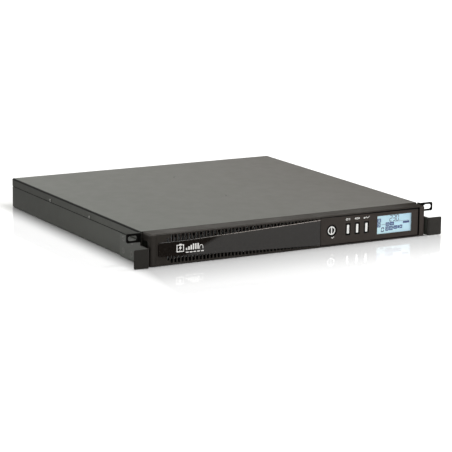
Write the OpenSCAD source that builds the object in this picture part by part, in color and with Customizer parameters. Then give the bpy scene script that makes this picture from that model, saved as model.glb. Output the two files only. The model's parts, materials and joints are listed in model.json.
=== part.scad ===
// Rack-mount uninterruptible power supply, one rack unit tall.
// Millimetres. X runs to the right seen from the front, Y runs to the rear, Z up.
// The origin is midway between the two ear slots, on the rear face of the ears.
// Heights inside the modules are measured from the underside; place() puts the
// finished pieces at their height about the origin.

/* [Chassis] */
// Depth of the steel case from the front edge of the cover to the rear face
chassis_depth = 410; // [405:1:450]
// Height of the cover lip that folds down over each side
lip_height = 11.3; // [11:0.1:12.5]
// Outside radius of the cover folds
fold_radius = 2; // [1.2:0.1:2]

/* [Rack ears] */
// Height of the slot in the ear tab
slot_height = 7; // [6.6:0.1:7.4]
// Length of the slot in the ear tab
slot_length = 13.5; // [12:0.5:14]
// Height of the grip plate at the front of each ear
grip_height = 25.4; // [20:0.2:28]
// Distance the grip plate stands ahead of the rack face
grip_reach = 24.4; // [23:0.2:30]

/* [Front] */
// Spacing of the bars in the front grille
vent_pitch = 5.4; // [5:0.1:6.4]
// Width of each opening in the front grille
vent_gap = 3.4; // [2.6:0.1:3.8]
// Diameter of the power button cap
button_d = 14; // [12:0.5:14]
// Height of the three narrow keys
key_height = 12.2; // [9:0.2:12.6]

/* [Battery] */
// Length of one battery block
block_length = 151; // [140:1:151]
// Width of one battery block
block_width = 94; // [84:1:94]
// Thickness of one battery block
block_height = 34; // [28:1:34]

/* [Fans] */
// Number of blades on each fan rotor
blade_count = 7; // [5:1:9]
// Pitch angle of the fan blades
blade_angle = 38; // [30:1:44]

/* [Hidden] */
$fn = 48;

// colours shared by several pieces
dark_steel = "#4a4b49";
screw_steel = "#b9b9b6";
board_green = "#2c5a3a";

// range reaching h to each side of c
function span(c, h) = [c - h, c + h];
// range r widened by d at each end
function grow(r, d) = [r[0] - d, r[1] + d];
// range given by two offsets from a datum
function from(datum, a, b) = [datum + a, datum + b];
// range r on the right (s = 1), or its mirror image on the left (s = -1)
function on_side(s, r) = s > 0 ? r : [-r[1], -r[0]];

// case
cover_x = 219;                  // half width over the cover
cover_top = 43;
cover_t = 1;                    // sheet thickness
tray_t = 1.2;                   // sheet thickness
wall_x = cover_x - cover_t;     // half width of the tray inside the lip
cover_y = 5;                    // front edge of the cover
front_y = 6;                    // front wall of the tray
rear_y = cover_y + chassis_depth;  // rear face
panel_y = rear_y - tray_t;      // inner face of the rear panel
tray_top = cover_top - cover_t - 0.1;
lip_bottom = cover_top - lip_height;
shoulder_z = lip_bottom - 0.55; // shoulder of the tray wall just below the lip
lid_screw_y = [cover_y + 149, cover_y + 276];  // along each side
lid_screw_z = cover_top - 8.8;
top_screw_x = 1;
top_screw_y = [cover_y + 159, cover_y + 315];
rear_screw_x = [-214, 214];
rear_screw_z = [7, 35];

// rack ears
ear_t = 2;
rack_x = 241.3;                 // half of the rack panel width
ear_screw_y = [24, 48];
ear_screw_z = [9.2, 25.4];
slot_z = 36.75;
slot_x = 232.55;                // half of the rack hole spacing

// bezel and control panel
bezel_x = 216;                  // half width
bezel_y = -20;                  // front face
bezel_rear = cover_y - 0.1;     // rear edge of the shell
bezel_z = [0.2, 42.9];
opening_z = [1.4, 41.5];
bezel_screw_x = [-211, 211];
bezel_screw_z = [5, 38];
grille_x = [-207.6, 43.8];
grille_z = grow(opening_z, -0.3);
peg_x = 30;                     // locating pegs of the grille
peg_z = [12, 31];
button_x = 62.5;
button_z = 21.8;
key_x = [88.9, 103.9, 118.9];
key_z = 21.3;
lcd_x = [137, 194];
lcd_z = [9.3, 34.8];
display_screw_x = [50, 199];
display_screw_z = [8, 35.5];
ribbon_x = 70;

// battery drawer
drawer_x = -95;                 // centre line
drawer_y = [5.7, 323];
drawer_side_z = [1.6, 24];
drawer_screw_x = span(drawer_x, 107.5);
drawer_screw_z = 20;
handle_x = span(drawer_x, 30);
floor_z = 2.6;                  // upper face of the drawer floor
block_x = [drawer_x - 7 - block_width, drawer_x + 7];  // left edge of each column
block_y = [12, 12 + 3 + block_length];                 // front edge of each row
tab_z = 14;                     // height of the block tabs and the plug
link_x = 3.5;                   // cable offset from the centre line
plug_pin_x = span(drawer_x, 5.5);

// main board
board_x = [22, 212];
board_y = [128, rear_y - 37];
board_z = [7.2, 8.8];
on_board_z = board_z[1] - 0.1;  // parts sink slightly into the board
board_screw_x = [30, 117, 204];
board_screw_y = [136, rear_y - 45];

// rear connections
fan_x = [-190.6, -149.6];
fan_z = 21.5;
fan_hole = [-16, 16];
slot_cover_x = -99;
slot_cover_z = 22;
slot_cover_screw_x = span(slot_cover_x, 24.7);
comm_x = -42;
comm_screw_x = span(comm_x, 24);
comm_screw_y = rear_y - 51;
serial_x = -51;
serial_z = 15.9;
serial_screw_x = span(serial_x, 12.5);
usb_x = -27;
outlet_x = [3, 39, 75, 111];
socket_z = 22;
inlet_x = 177;
inlet_screw_x = span(inlet_x, 20);
pins = [[-7, -1.5], [7, -1.5], [0, 2.5]];  // x, z from the socket centre
breaker_x = 140;
earth_x = 207.5;
earth_z = 21;

// ---- helpers ----
// box between three [from, to] ranges
module box(x, y, z) {
  translate([x[0], y[0], z[0]]) cube([x[1] - x[0], y[1] - y[0], z[1] - z[0]]);
}
// cylinders along one axis from a start point; end_r makes a cone
module cyl_z(x, y, z, r, l, end_r = -1) {
  translate([x, y, z]) cylinder(r1 = r, r2 = end_r < 0 ? r : end_r, h = l);
}
module cyl_x(x, y, z, r, l) {
  translate([x, y, z]) rotate([0, 90, 0]) cyl_z(0, 0, 0, r, l);
}
module cyl_x_cone(x, y, z, r, l, end_r) {
  translate([x, y, z]) rotate([0, 90, 0]) cyl_z(0, 0, 0, r, l, end_r);
}
module cyl_y(x, y, z, r, l, end_r = -1) {
  translate([x, y, z]) rotate([-90, 0, 0]) cyl_z(0, 0, 0, r, l, end_r);
}
// hexagon along Y, ending at y
module hex_y(x, y, z, r, l) {
  translate([x, y, z]) rotate([90, 0, 0]) cylinder(r = r, h = l, $fn = 6);
}
// flat outlines extruded over a range; the outline is in YZ, XZ or XY
module extrude_x(x) {
  translate([x[0], 0, 0]) rotate([90, 0, 90]) linear_extrude(x[1] - x[0]) children();
}
module extrude_y(y) {
  translate([0, y[1], 0]) rotate([90, 0, 0]) linear_extrude(y[1] - y[0]) children();
}
module extrude_z(z) {
  translate([0, 0, z[0]]) linear_extrude(z[1] - z[0]) children();
}
// waste outside a rounded corner; dx and dy point into the rectangle
module corner_waste(x, y, dx, dy, r) {
  if (r > 0) difference() {
    translate([dx > 0 ? x - 1 : x - r, dy > 0 ? y - 1 : y - r]) square(r + 1);
    translate([x + dx * r, y + dy * r]) circle(r);
  }
}
// rectangle with radii for lower left, lower right, upper right, upper left
module rounded4(x, y, radii) {
  difference() {
    translate([x[0], y[0]]) square([x[1] - x[0], y[1] - y[0]]);
    corner_waste(x[0], y[0], 1, 1, radii[0]);
    corner_waste(x[1], y[0], -1, 1, radii[1]);
    corner_waste(x[1], y[1], -1, -1, radii[2]);
    corner_waste(x[0], y[1], 1, -1, radii[3]);
  }
}
module rounded(x, y, r) { rounded4(x, y, [r, r, r, r]); }

// pan head screw along +Z, the head above the origin
module screw(r, l, head_r, head_h) {
  difference() {
    union() {
      cyl_z(0, 0, -l, r, l + 0.01);
      cyl_z(0, 0, 0, head_r, head_h * 0.6);
      cyl_z(0, 0, head_h * 0.6 - 0.001, head_r, head_h * 0.4, head_r * 0.72);
    }
    for (a = [0, 90]) rotate([0, 0, a])
      translate([-head_r * 0.6, -0.35, head_h * 0.35]) cube([head_r * 1.2, 0.7, head_h]);
  }
}
// countersunk screw along +Z, the flat head level with the origin
module flat_screw(r, l, head_r) {
  difference() {
    union() {
      cyl_z(0, 0, -l, r, l);
      cyl_z(0, 0, -(head_r - r), r, head_r - r, head_r);
    }
    for (a = [0, 90]) rotate([0, 0, a])
      translate([-head_r * 0.62, -0.4, -0.7]) cube([head_r * 1.24, 0.8, 1]);
  }
}
// pan head screw with its head towards the rear
module rear_screw(x, y, z, l, head_r, head_h, r = 1.5) {
  translate([x, y, z]) rotate([-90, 0, 0]) screw(r, l, head_r, head_h);
}

// ---- sheet metal ----
// the tray wall steps in behind the cover lip, so lip and wall are flush
module tray_outline() {
  rounded4(span(0, cover_x), [0, shoulder_z], [2, 2, 0.3, 0.3]);
  rounded4(span(0, wall_x), [shoulder_z - 2, tray_top], [0, 0, 0.7, 0.7]);
}
module base_tray() {
  wall_cut = from(front_y, -1, 3);
  flange_y = [panel_y - tray_t, panel_y];
  inner_x = wall_x - tray_t;
  color(dark_steel) difference() {
    union() {
      extrude_y([front_y, panel_y]) difference() {
        tray_outline();
        rounded4(span(0, cover_x - tray_t), [tray_t, shoulder_z - tray_t], [0.8, 0.8, 0, 0]);
        translate([-inner_x, shoulder_z - tray_t - 0.01]) square([2 * inner_x, tray_top]);
      }
      extrude_y(from(front_y, 0, tray_t)) tray_outline();
      // rear flanges
      for (s = [-1, 1]) {
        box(on_side(s, [211.2, cover_x - 0.5]), flange_y, [2, shoulder_z - 0.5]);
        box(on_side(s, [211.2, wall_x - 0.5]), flange_y, [2, tray_top]);
      }
      // low strips under the drawer
      for (x = [-180, -10])
        box(span(x, 4), from(front_y, tray_t + 3, 316), from(tray_t, -0.1, 0.35));
    }
    // battery opening, cable slot and air slots in the front wall
    extrude_y(wall_cut) rounded4(span(drawer_x, 103), [tray_t + 0.01, 38], [0, 0, 2, 2]);
    for (x = drawer_screw_x) cyl_y(x, front_y - 1, drawer_screw_z, 1.58, 4);
    box(span(ribbon_x, 12), wall_cut, [27, 33]);
    for (x = [88 : 7 : 200]) extrude_y(wall_cut) rounded([x, x + 4], [8, 34], 2);
    for (z = peg_z) cyl_y(peg_x, front_y - 1, z, 2.58, 4);
    for (x = bezel_screw_x, z = bezel_screw_z) cyl_y(x, front_y - 1, z, 1.7, 4);
    // side holes
    for (s = [-1, 1]) {
      for (y = lid_screw_y) cyl_x(s * wall_x - 3, y, lid_screw_z, 1.55, 6);
      for (y = ear_screw_y, z = ear_screw_z) cyl_x(s * wall_x - 3, y, z, 2.05, 6);
    }
    for (x = rear_screw_x, z = rear_screw_z) cyl_y(x, panel_y - 3, z, 1.55, 5);
  }
}

module top_cover() {
  color("#7b7d78") difference() {
    extrude_y([cover_y, rear_y]) difference() {
      rounded4(span(0, cover_x), [lip_bottom, cover_top], [0, 0, fold_radius, fold_radius]);
      rounded4(span(0, wall_x), [lip_bottom - 1, cover_top - cover_t], [0, 0, 0.6, 0.6]);
    }
    for (s = [-1, 1], y = lid_screw_y) cyl_x(s * wall_x - 3, y, lid_screw_z, 1.65, 6);
    for (y = top_screw_y) {
      cyl_z(top_screw_x, y, cover_top - cover_t - 1, 1.6, 3);
      cyl_z(top_screw_x, y, cover_top - cover_t, 1.6, cover_t + 0.001, 2.65);
    }
  }
}

module fan_holes(x, y, z, r, l) {
  for (a = fan_hole, b = fan_hole) cyl_y(x + a, y, z + b, r, l);
}
module panel_hole(x, z, r) { cyl_y(x, panel_y - 1, z, r, 4); }
module panel_window(x, z, r) { extrude_y([panel_y - 1, rear_y + 1]) rounded(x, z, r); }
module rear_panel() {
  color(dark_steel) difference() {
    extrude_y([panel_y, rear_y]) union() {
      rounded(span(0, wall_x - 0.2), [0.2, 41.8], 1);
      rounded(span(0, cover_x - 0.2), [0.2, lip_bottom - 0.7], 1);
    }
    for (x = fan_x) {
      panel_hole(x, fan_z, 18.6);
      fan_holes(x, panel_y - 1, fan_z, 1.7, 4);
    }
    panel_window(span(slot_cover_x, 22), span(slot_cover_z, 13), 1);
    for (x = slot_cover_screw_x) panel_hole(x, slot_cover_z, 1.55);
    panel_window(span(serial_x, 9.5), span(serial_z, 5.6), 0);
    for (x = serial_screw_x) panel_hole(x, serial_z, 1.6);
    panel_window(span(usb_x, 6.2), [9.4, 20.8], 0);
    for (x = outlet_x) panel_window(span(x, 13.6), span(socket_z, 10.1), 1);
    panel_hole(breaker_x, socket_z, 6);
    panel_window(span(inlet_x, 13.9), span(socket_z, 10.1), 1);
    for (x = inlet_screw_x) panel_hole(x, socket_z, 1.55);
    panel_hole(earth_x, earth_z, 2.05);
    for (x = rear_screw_x, z = rear_screw_z) panel_hole(x, z, 1.65);
  }
}

// upright wall to the right of the drawer, with a foot and a top flange
module partition() {
  wall_y = [front_y + tray_t + 0.1, 338];
  color("#8c8d8a") difference() {
    union() {
      box([9, 10.2], wall_y, [tray_t, tray_top]);
      box([10.1, 20], wall_y, from(tray_t, 0, 1.2));
      box([-4, 9.1], wall_y, from(tray_top, -1.2, 0));
    }
    for (y = top_screw_y) cyl_z(top_screw_x, y, tray_top - 3, 1.55, 5);
    for (y = [60 : 40 : 300]) extrude_x([8, 11]) rounded([y, y + 26], [26, 30], 2);
  }
}

// angle to the left of the drawer
module guide_rail() {
  color("#8c8d8a") union() {
    box([-199.2, -198], [9, 326], [tray_t, 20]);
    box([-209, -199.1], [9, 326], from(tray_t, 0, 1.2));
  }
}

// ---- rack ears ----
module ear(s) {
  inner_x = cover_x;
  outer_x = cover_x + ear_t;
  grip_z = from(0.6, 0, grip_height);
  bend_r = 3.5;
  bend_x = inner_x + bend_r;
  bend_y = -grip_reach + bend_r;
  tab = from(slot_z, -6, 6.05);
  mirror([s < 0 ? 1 : 0, 0, 0]) color("#3d3c39") difference() {
    union() {
      // flange on the case side, its front running up in front of the cover
      extrude_x([inner_x, outer_x]) union() {
        rounded4([-1, 58], [grip_z[0], lip_bottom - 0.25], [0, 3, 3, 0]);
        rounded4([-1, 4.5], [grip_z[0], tab[1]], [0, 0, 1, 0]);
        translate([bend_y, grip_z[0]]) square([grip_reach, grip_height]);
      }
      // tab with a small fold
      extrude_y([-ear_t, 0]) rounded4([outer_x - 0.01, rack_x], tab, [0, 2.2, 2.2, 0]);
      extrude_z(tab) rounded4([inner_x, outer_x + 0.5], [-ear_t, 0.1], [1.5, 0, 0, 0]);
      // grip plate with its fold
      extrude_y(from(-grip_reach, 0, ear_t))
        rounded4([bend_x, rack_x], grip_z, [0, 1.6, 1.6, 0]);
      extrude_z(grip_z) difference() {
        intersection() {
          translate([bend_x, bend_y]) circle(bend_r);
          translate([inner_x, -grip_reach]) square(bend_r + 0.001);
        }
        translate([bend_x, bend_y]) circle(bend_r - ear_t);
      }
    }
    extrude_y([-ear_t - 1, 1])
      rounded(span(slot_x, slot_length / 2), span(slot_z, slot_height / 2), slot_height / 2 - 0.01);
    for (y = ear_screw_y, z = ear_screw_z) {
      cyl_x(inner_x - 1, y, z, 2.1, 5);
      cyl_x_cone(outer_x - 1.85, y, z, 2.1, 1.86, 3.96);
    }
  }
}
module ear_left() { ear(-1); }
module ear_right() { ear(1); }

// ---- fasteners ----
module ear_screws() {
  color("#33322f") for (s = [-1, 1], y = ear_screw_y, z = ear_screw_z)
    translate([s * (cover_x + ear_t - 0.05), y, z]) rotate([0, s * 90, 0])
      flat_screw(2, 5.5, 3.8);
}
module lid_screws() {
  color("#c4c4c0") for (s = [-1, 1], y = lid_screw_y)
    translate([s * cover_x, y, lid_screw_z]) rotate([0, s * 90, 0]) screw(1.5, 5, 2.05, 1.2);
}
module top_screws() {
  color("#33322f") for (y = top_screw_y)
    translate([top_screw_x, y, cover_top - 0.02]) flat_screw(1.5, 6, 2.5);
}
module bezel_screws() {
  color(screw_steel) for (x = bezel_screw_x, z = bezel_screw_z)
    rear_screw(x, front_y + tray_t, z, 9, 2.6, 1.8);
}
module panel_screws() {
  color(screw_steel) {
    for (x = rear_screw_x, z = rear_screw_z) rear_screw(x, rear_y, z, 5, 2.6, 1.8);
    for (x = slot_cover_screw_x) rear_screw(x, rear_y + 1, slot_cover_z, 5, 2.5, 1.8);
    for (x = inlet_screw_x) rear_screw(x, rear_y + 2.5, socket_z, 6, 2.6, 1.8);
  }
}
module board_screws() {
  color(screw_steel) {
    for (x = board_screw_x, y = board_screw_y)
      translate([x, y, board_z[1]]) screw(1.5, 5, 2.6, 1.8);
    for (x = comm_screw_x) translate([x, comm_screw_y, 9.6]) screw(1.5, 5, 2.6, 1.8);
    for (x = display_screw_x, z = display_screw_z)
      rear_screw(x, bezel_y + 10.2, z, 4.5, 2.4, 1.6);
  }
}
module fan_screws() {
  color(screw_steel) for (x = fan_x, a = fan_hole, b = fan_hole)
    rear_screw(x + a, rear_y + 1.6, fan_z + b, 12, 2.9, 1.8, r = 1.6);
}
module standoff(x, y, h) {
  difference() {
    cyl_z(x, y, tray_t, 3, h);
    cyl_z(x, y, 3.4, 1.55, 6);
  }
}
module standoffs() {
  color("#c9b27a") {
    for (x = board_screw_x, y = board_screw_y) standoff(x, y, 6);
    for (x = comm_screw_x) standoff(x, comm_screw_y, 6.8);
  }
}

// ---- bezel ----
module bezel_frame() {
  depth = [bezel_y, bezel_rear];
  strut_y = [bezel_y + 2, bezel_rear];
  color("#252523") difference() {
    union() {
      difference() {
        intersection() {
          extrude_y(depth) rounded4(span(0, bezel_x), bezel_z, [1.2, 1.2, 4, 4]);
          extrude_z([0, 44]) rounded4(span(0, bezel_x), depth, [3, 3, 0, 0]);
          extrude_x(span(0, bezel_x + 1)) rounded4(depth, bezel_z, [1, 0, 0, 2.6]);
        }
        extrude_y([bezel_y + 3, front_y])
          rounded4(span(0, bezel_x - 2.6), opening_z, [0.6, 0.6, 2, 2]);
        extrude_y(from(bezel_y, -1, 4)) rounded([-208, 207], opening_z, 1);
      }
      // screw posts
      for (x = bezel_screw_x, z = bezel_screw_z)
        cyl_y(x, bezel_y + 2, z, 2.9, front_y - 0.1 - bezel_y - 2);
      for (s = [-1, 1], z = [[1, 5], [38, 42]]) box(on_side(s, [210, 212]), strut_y, z);
    }
    for (x = bezel_screw_x, z = bezel_screw_z) cyl_y(x, front_y - 9, z, 1.55, 10);
    // relief in each end wall beside the grip
    for (s = [-1, 1]) extrude_x(on_side(s, from(bezel_x, -3, 1)))
      rounded([-13.5, front_y + 8], [8.4, 33], 4.5);
  }
}

// leaf-shaped panel on the grille: tapers to rounded corners at its left end
leaf_right = grille_x[1] - 0.5;
function leaf_top(x) = 31.5 + 7.1 * pow(max(0, x + 165) / 207, 1.05);
function leaf_bottom(x) = 12.5 - 8.8 * pow((x + 200) / 242, 0.9);
// quarter circle, clockwise from angle start
function leaf_corner(inset, z, start) =
  [for (a = [start : -15 : start - 90])
    [-201.9 + (2.6 - inset) * cos(a), z + (2.6 - inset) * sin(a)]];
function leaf_outline(inset) = concat(
  leaf_corner(inset, 28.9, 180),
  [for (x = [-190 : 15 : 35]) [x, leaf_top(x) - inset]],
  [[leaf_right - inset, leaf_top(leaf_right) - inset],
   [leaf_right - inset, leaf_bottom(leaf_right) + inset]],
  [for (x = [35 : -15 : -190]) [x, leaf_bottom(x) + inset]],
  leaf_corner(inset, 15.1, 270));

module vent_panel() {
  first_x = -186;
  sheet_y = from(bezel_y, 0.4, 2.9);
  cut_y = from(bezel_y, -1, 4);
  color("#1f1f1d") union() {
    difference() {
      extrude_y(sheet_y) rounded(grille_x, grille_z, 0.8);
      for (i = [0 : floor((36 - first_x) / vent_pitch)])
        box(from(first_x + i * vent_pitch, 0, vent_gap), cut_y,
          [grille_z[0] + 1.3, grille_z[1] - 0.9]);
      // short opening at the left end
      extrude_y(cut_y) rounded(from(first_x - vent_pitch, 0, vent_gap), [6.6, 36.4], 1.3);
    }
    extrude_y(sheet_y) polygon(leaf_outline(0.8));
    // skirt and locating pegs
    extrude_y(from(bezel_y, 2.8, 10)) difference() {
      rounded(grille_x, grille_z, 0.8);
      translate([grille_x[0] + 1.3, grille_z[0] + 1.2])
        square([grille_x[1] - grille_x[0] - 2.6, grille_z[1] - grille_z[0] - 2.1]);
    }
    for (z = peg_z) {
      cyl_y(peg_x, bezel_y + 2.8, z, 2.5, 27);
      cyl_y(peg_x, bezel_y + 29.8, z, 2.5, 1.2, 1.6);
    }
  }
}

module leaf_panel() {
  color("#0d0d0d") extrude_y(from(bezel_y, -1, 0.4)) polygon(leaf_outline(0));
}

module control_panel() {
  color("#262624") difference() {
    union() {
      // the top edge falls slightly towards the right
      extrude_y(from(bezel_y, 1, 3.2)) intersection() {
        rounded([45, 204.9], [2.6, 40.6], 1.2);
        polygon([[40, 0], [210, 0], [210, 39], [40, 40.5]]);
      }
      extrude_y(from(bezel_y, 3.1, 4.2)) rounded4([45, 212.9], opening_z, [0.6, 0.6, 2, 0.6]);
      extrude_y(from(bezel_y, 4.1, 12)) difference() {
        rounded([45.4, 204], [3, 40.2], 1);
        translate([46.6, 4.2]) square([156.2, 34.8]);
      }
      for (x = display_screw_x, z = display_screw_z) cyl_y(x, bezel_y + 3, z, 2.6, 5.6);
    }
    for (x = display_screw_x, z = display_screw_z) cyl_y(x, bezel_y + 4.2, z, 1.55, 6);
    // display opening and its rebate
    extrude_y(from(bezel_y, 0, 5)) rounded(lcd_x, lcd_z, 0.6);
    box(grow(lcd_x, 2), from(bezel_y, 2.4, 5), grow(lcd_z, 2));
    // power button
    cyl_y(button_x, bezel_y, button_z, 8.3, 2.4);
    cyl_y(button_x, bezel_y, button_z, button_d / 2 + 0.08, 6);
    // keys
    for (x = key_x) {
      extrude_y(from(bezel_y, 0, 2.2)) rounded(span(x, 4), span(key_z, 8.5), 1.2);
      extrude_y(from(bezel_y, 0, 6))
        rounded(span(x, 1.88), span(key_z, key_height / 2 + 0.08), 0.8);
    }
    // clearance for the bezel posts at the right end
    for (z = bezel_screw_z) cyl_y(bezel_screw_x[1], bezel_y, z, 3.1, 10);
    for (z = [[0, 5], [37.9, 42]]) box([209.5, 213], from(bezel_y, 0, 10), z);
  }
}

module lcd_window() {
  color("#bcd8e0") union() {
    extrude_y(from(bezel_y, 1.3, 2.5)) rounded(grow(lcd_x, -0.1), grow(lcd_z, -0.1), 0.6);
    box(grow(lcd_x, 1.9), from(bezel_y, 2.5, 3.3), grow(lcd_z, 1.9));
  }
}
module lcd_module() {
  color("#cfe3e8") union() {
    box(grow(lcd_x, 1.5), from(bezel_y, 3.5, 5), grow(lcd_z, 1.5));
    box([lcd_x[0] - 3, lcd_x[1] + 2], from(bezel_y, 4.9, 8.6), [lcd_z[0] - 3, lcd_z[1] + 2.5]);
  }
}
module display_board() {
  color(board_green) difference() {
    union() {
      box([47, 202], from(bezel_y, 8.6, 10.2), [5, 38.5]);
      box(span(ribbon_x, 11), from(bezel_y, 10.1, 13), [27.5, 32.5]);
    }
    for (x = display_screw_x, z = display_screw_z) cyl_y(x, bezel_y + 8, z, 1.6, 4);
  }
}
module tact_switches() {
  color("#2b2b2b") for (p = concat([[button_x, button_z]], [for (x = key_x) [x, key_z]])) union() {
    box(span(p[0], 3), from(bezel_y, 6.9, 8.6), span(p[1], 3));
    cyl_y(p[0], bezel_y + 6.4, p[1], 1.7, 0.6);
  }
}
module power_button() {
  r = button_d / 2;
  color("#1c1c1b") difference() {
    union() {
      cyl_y(button_x, bezel_y + 1.2, button_z, r - 0.5, 0.5, r);
      cyl_y(button_x, bezel_y + 1.699, button_z, r, 2.702);
      cyl_y(button_x, bezel_y + 4.4, button_z, r + 0.9, 0.8);
    }
    cyl_y(button_x, bezel_y, button_z, 5.95, 1.75);
  }
}
// disc with two half-round windows
module power_ring() {
  color("#f2f2ee") difference() {
    cyl_y(button_x, bezel_y + 1.15, button_z, 5.9, 0.6);
    for (x = [[-6, -0.8], [0.8, 6]]) intersection() {
      cyl_y(button_x, bezel_y, button_z, 4.4, 2);
      box(from(button_x, x[0], x[1]), from(bezel_y, 0, 3), span(button_z, 6));
    }
  }
}
module key_cap(x) {
  color("#f4f4f0") union() {
    extrude_y(from(bezel_y, 0.9, 4.3)) rounded(span(x, 1.8), span(key_z, key_height / 2), 0.8);
    extrude_y(from(bezel_y, 4.299, 5.2))
      rounded(span(x, 3), span(key_z, key_height / 2 + 1.2), 0.8);
  }
}
module key_1() { key_cap(key_x[0]); }
module key_2() { key_cap(key_x[1]); }
module key_3() { key_cap(key_x[2]); }

// ---- battery drawer ----
module drawer_tray() {
  color("#9a9b98") difference() {
    union() {
      box(span(drawer_x, 102), drawer_y, [1.6, floor_z]);
      box([-197, -196.4], drawer_y, drawer_side_z);
      box([6.4, 7], drawer_y, drawer_side_z);
      box(span(drawer_x, 102), [322, 323], drawer_side_z);
      extrude_y([4.8, 5.8]) rounded(span(drawer_x, 112), [2.2, 40.9], 1.5);
    }
    for (x = [-188 : 9.5 : 0]) extrude_y([4, 7]) rounded([x, x + 5], [30, 37.2], 2);
    box(span(drawer_x, 11), [321, 324], span(tab_z, 6));
    for (x = concat(drawer_screw_x, handle_x)) cyl_y(x, 4, drawer_screw_z, 1.6, 3);
  }
}
module drawer_handle() {
  color("#b5b5b2") union() {
    for (x = handle_x) {
      cyl_y(x, -8, drawer_screw_z, 2, 12.8);
      cyl_y(x, 4.7, drawer_screw_z, 1.5, 2.6);
      translate([x, -8, drawer_screw_z]) sphere(r = 2);
    }
    cyl_x(handle_x[0], -8, drawer_screw_z, 2, handle_x[1] - handle_x[0]);
  }
}
module thumb_screws() {
  z = drawer_screw_z;
  color(screw_steel) for (x = drawer_screw_x) difference() {
    union() {
      cyl_y(x, -3, z, 3, 0.6, 3.5);
      cyl_y(x, -2.401, z, 3.5, 5.4);
      cyl_y(x, 2.9, z, 2.4, 1.85);
      cyl_y(x, 4.7, z, 1.5, 6.3);
    }
    box(span(x, 4), [-3.1, -1.8], span(z, 0.4));
  }
}

// places of the front and rear tab on the blocks of a row
function tab_y(row) = [block_y[row] + 14, block_y[row] + block_length - 14];
// column 0 is the left one, row 0 the front one; tabs point to the centre line
module block(column, row) {
  left = column == 0;
  x = from(block_x[column], 0, block_width);
  y = from(block_y[row], 0, block_length);
  top = floor_z + block_height;
  color("#55585c") difference() {
    union() {
      extrude_z([floor_z, top]) rounded(left ? [x[0], x[1] - 3] : [x[0] + 3, x[1]], y, 2);
      extrude_z([floor_z + 0.5, top - 0.5]) rounded(x, grow(y, -0.5), 1.5);
      for (tab = tab_y(row))
        box(left ? from(x[1], -0.1, 5.7) : from(x[0], -5.7, 0.1), span(tab, 2.375),
          span(tab_z, 0.4));
    }
    // groove round the top face
    extrude_z(from(top, -0.6, 1)) difference() {
      rounded(grow(x, -10), grow(y, -12), 3);
      rounded(grow(x, -11), grow(y, -13), 2);
    }
  }
}
module battery_block_1() { block(0, 0); }
module battery_block_2() { block(0, 1); }
module battery_block_3() { block(1, 0); }
module battery_block_4() { block(1, 1); }

// push-on sleeve over a tab: s = 1 for the left column, -1 for the right
module sleeve(s, y) {
  x = drawer_x - s * link_x;
  difference() {
    box(span(x, 3), span(y, 3.4), span(tab_z, 2.2));
    box(s > 0 ? from(x, -4, 2.3) : from(x, -2.3, 4), span(y, 2.45), span(tab_z, 0.5));
  }
}
// cable running to the rear from the sleeve at y
module link_cable(s, y, end) {
  cyl_y(drawer_x - s * link_x, y + 3.3, tab_z, 1.6, end - y - 3.3);
}
module battery_links() {
  front = tab_y(0);
  rear = tab_y(1);
  color("#a83224") {
    for (s = [-1, 1]) union() {
      sleeve(s, front[1]);
      sleeve(s, rear[0]);
      link_cable(s, front[1], rear[0] - 3.3);
    }
    union() {
      sleeve(-1, front[0]);
      sleeve(1, front[0]);
      box(span(drawer_x, 0.6), span(front[0], 3.4), span(tab_z, 2.2));
    }
    for (s = [-1, 1]) union() {
      sleeve(s, rear[1]);
      link_cable(s, rear[1], 318);
    }
  }
}
module battery_plug() {
  color("#c8391f") difference() {
    union() {
      box(span(drawer_x, 10.9), [318, 334], span(tab_z, 5.9));
      box(span(drawer_x, 12.5), [319, 321.9], span(tab_z, 7));
    }
    for (x = plug_pin_x) box(span(x, 0.75), [322, 335], span(tab_z, 3.7));
  }
}
module battery_socket() {
  color("#8f2a18") union() {
    difference() {
      box(span(drawer_x, 13.4), [326, 343], span(tab_z, 8.4));
      box(span(drawer_x, 11.3), [325, 334.4], span(tab_z, 6.3));
    }
    for (x = plug_pin_x) box(span(x, 0.6), [324, 335], span(tab_z, 3.5));
    box(span(drawer_x, 11), [330, 342], [tray_t, 5.7]);
  }
}

// ---- electronics ----
module main_board() {
  color(board_green) difference() {
    union() {
      box(board_x, board_y, board_z);
      box(span(ribbon_x, 12), [132, 142], [on_board_z, 14]);
      box([22.5, 36], [341, 353], [on_board_z, 20]);
      box([165, 189], from(rear_y, -52, -41), [on_board_z, 22]);
      for (i = [0 : 5]) box(from(40 + i * 13.4, 0, 10), [282, 285], [on_board_z, 22]);
      for (i = [0 : 3]) box(from(150 + i * 12, 0, 8), [215, 223], [on_board_z, 12]);
    }
    for (x = board_screw_x, y = board_screw_y) cyl_z(x, y, 6, 1.6, 5);
  }
}
module heatsinks() {
  color("#b8babc") for (x = [38, 84]) extrude_y([150, 274]) union() {
    translate([x, 9]) square([36, 4]);
    for (i = [0 : 6]) translate([x + i * 5.6, 9]) square([2.4, 28]);
  }
}
module capacitors() {
  color("#1f2a44") for (x = [142, 170], y = [158, 186]) difference() {
    union() {
      cyl_z(x, y, board_z[1], 11, 28.5);
      cyl_z(x, y, 37.2, 11, 0.8, 10.2);
    }
    cyl_z(x, y, 37.4, 8.6, 1);
  }
}
module relays() {
  color("#d8d9d4") for (i = [0 : 3])
    extrude_z([board_z[1], 25]) rounded(from(106 + i * 17.5, 0, 15), [314, 335], 1);
}
module chokes() {
  color("#b06a2c") for (p = [[50, 312], [86, 306]])
    translate([p[0], p[1], 14.4]) rotate_extrude() translate([10, 0]) circle(5.5);
}
module transformer_core() {
  color("#6b6d6c") difference() {
    union() {
      box([118, 202], [30, 102], [10, 32]);
      for (x = [118, 190], y = [30, 90]) box([x, x + 12], [y, y + 12], [tray_t, 10.1]);
    }
    for (x = [132, 174]) box([x, x + 14], [44, 88], [9, 33]);
  }
}
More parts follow.
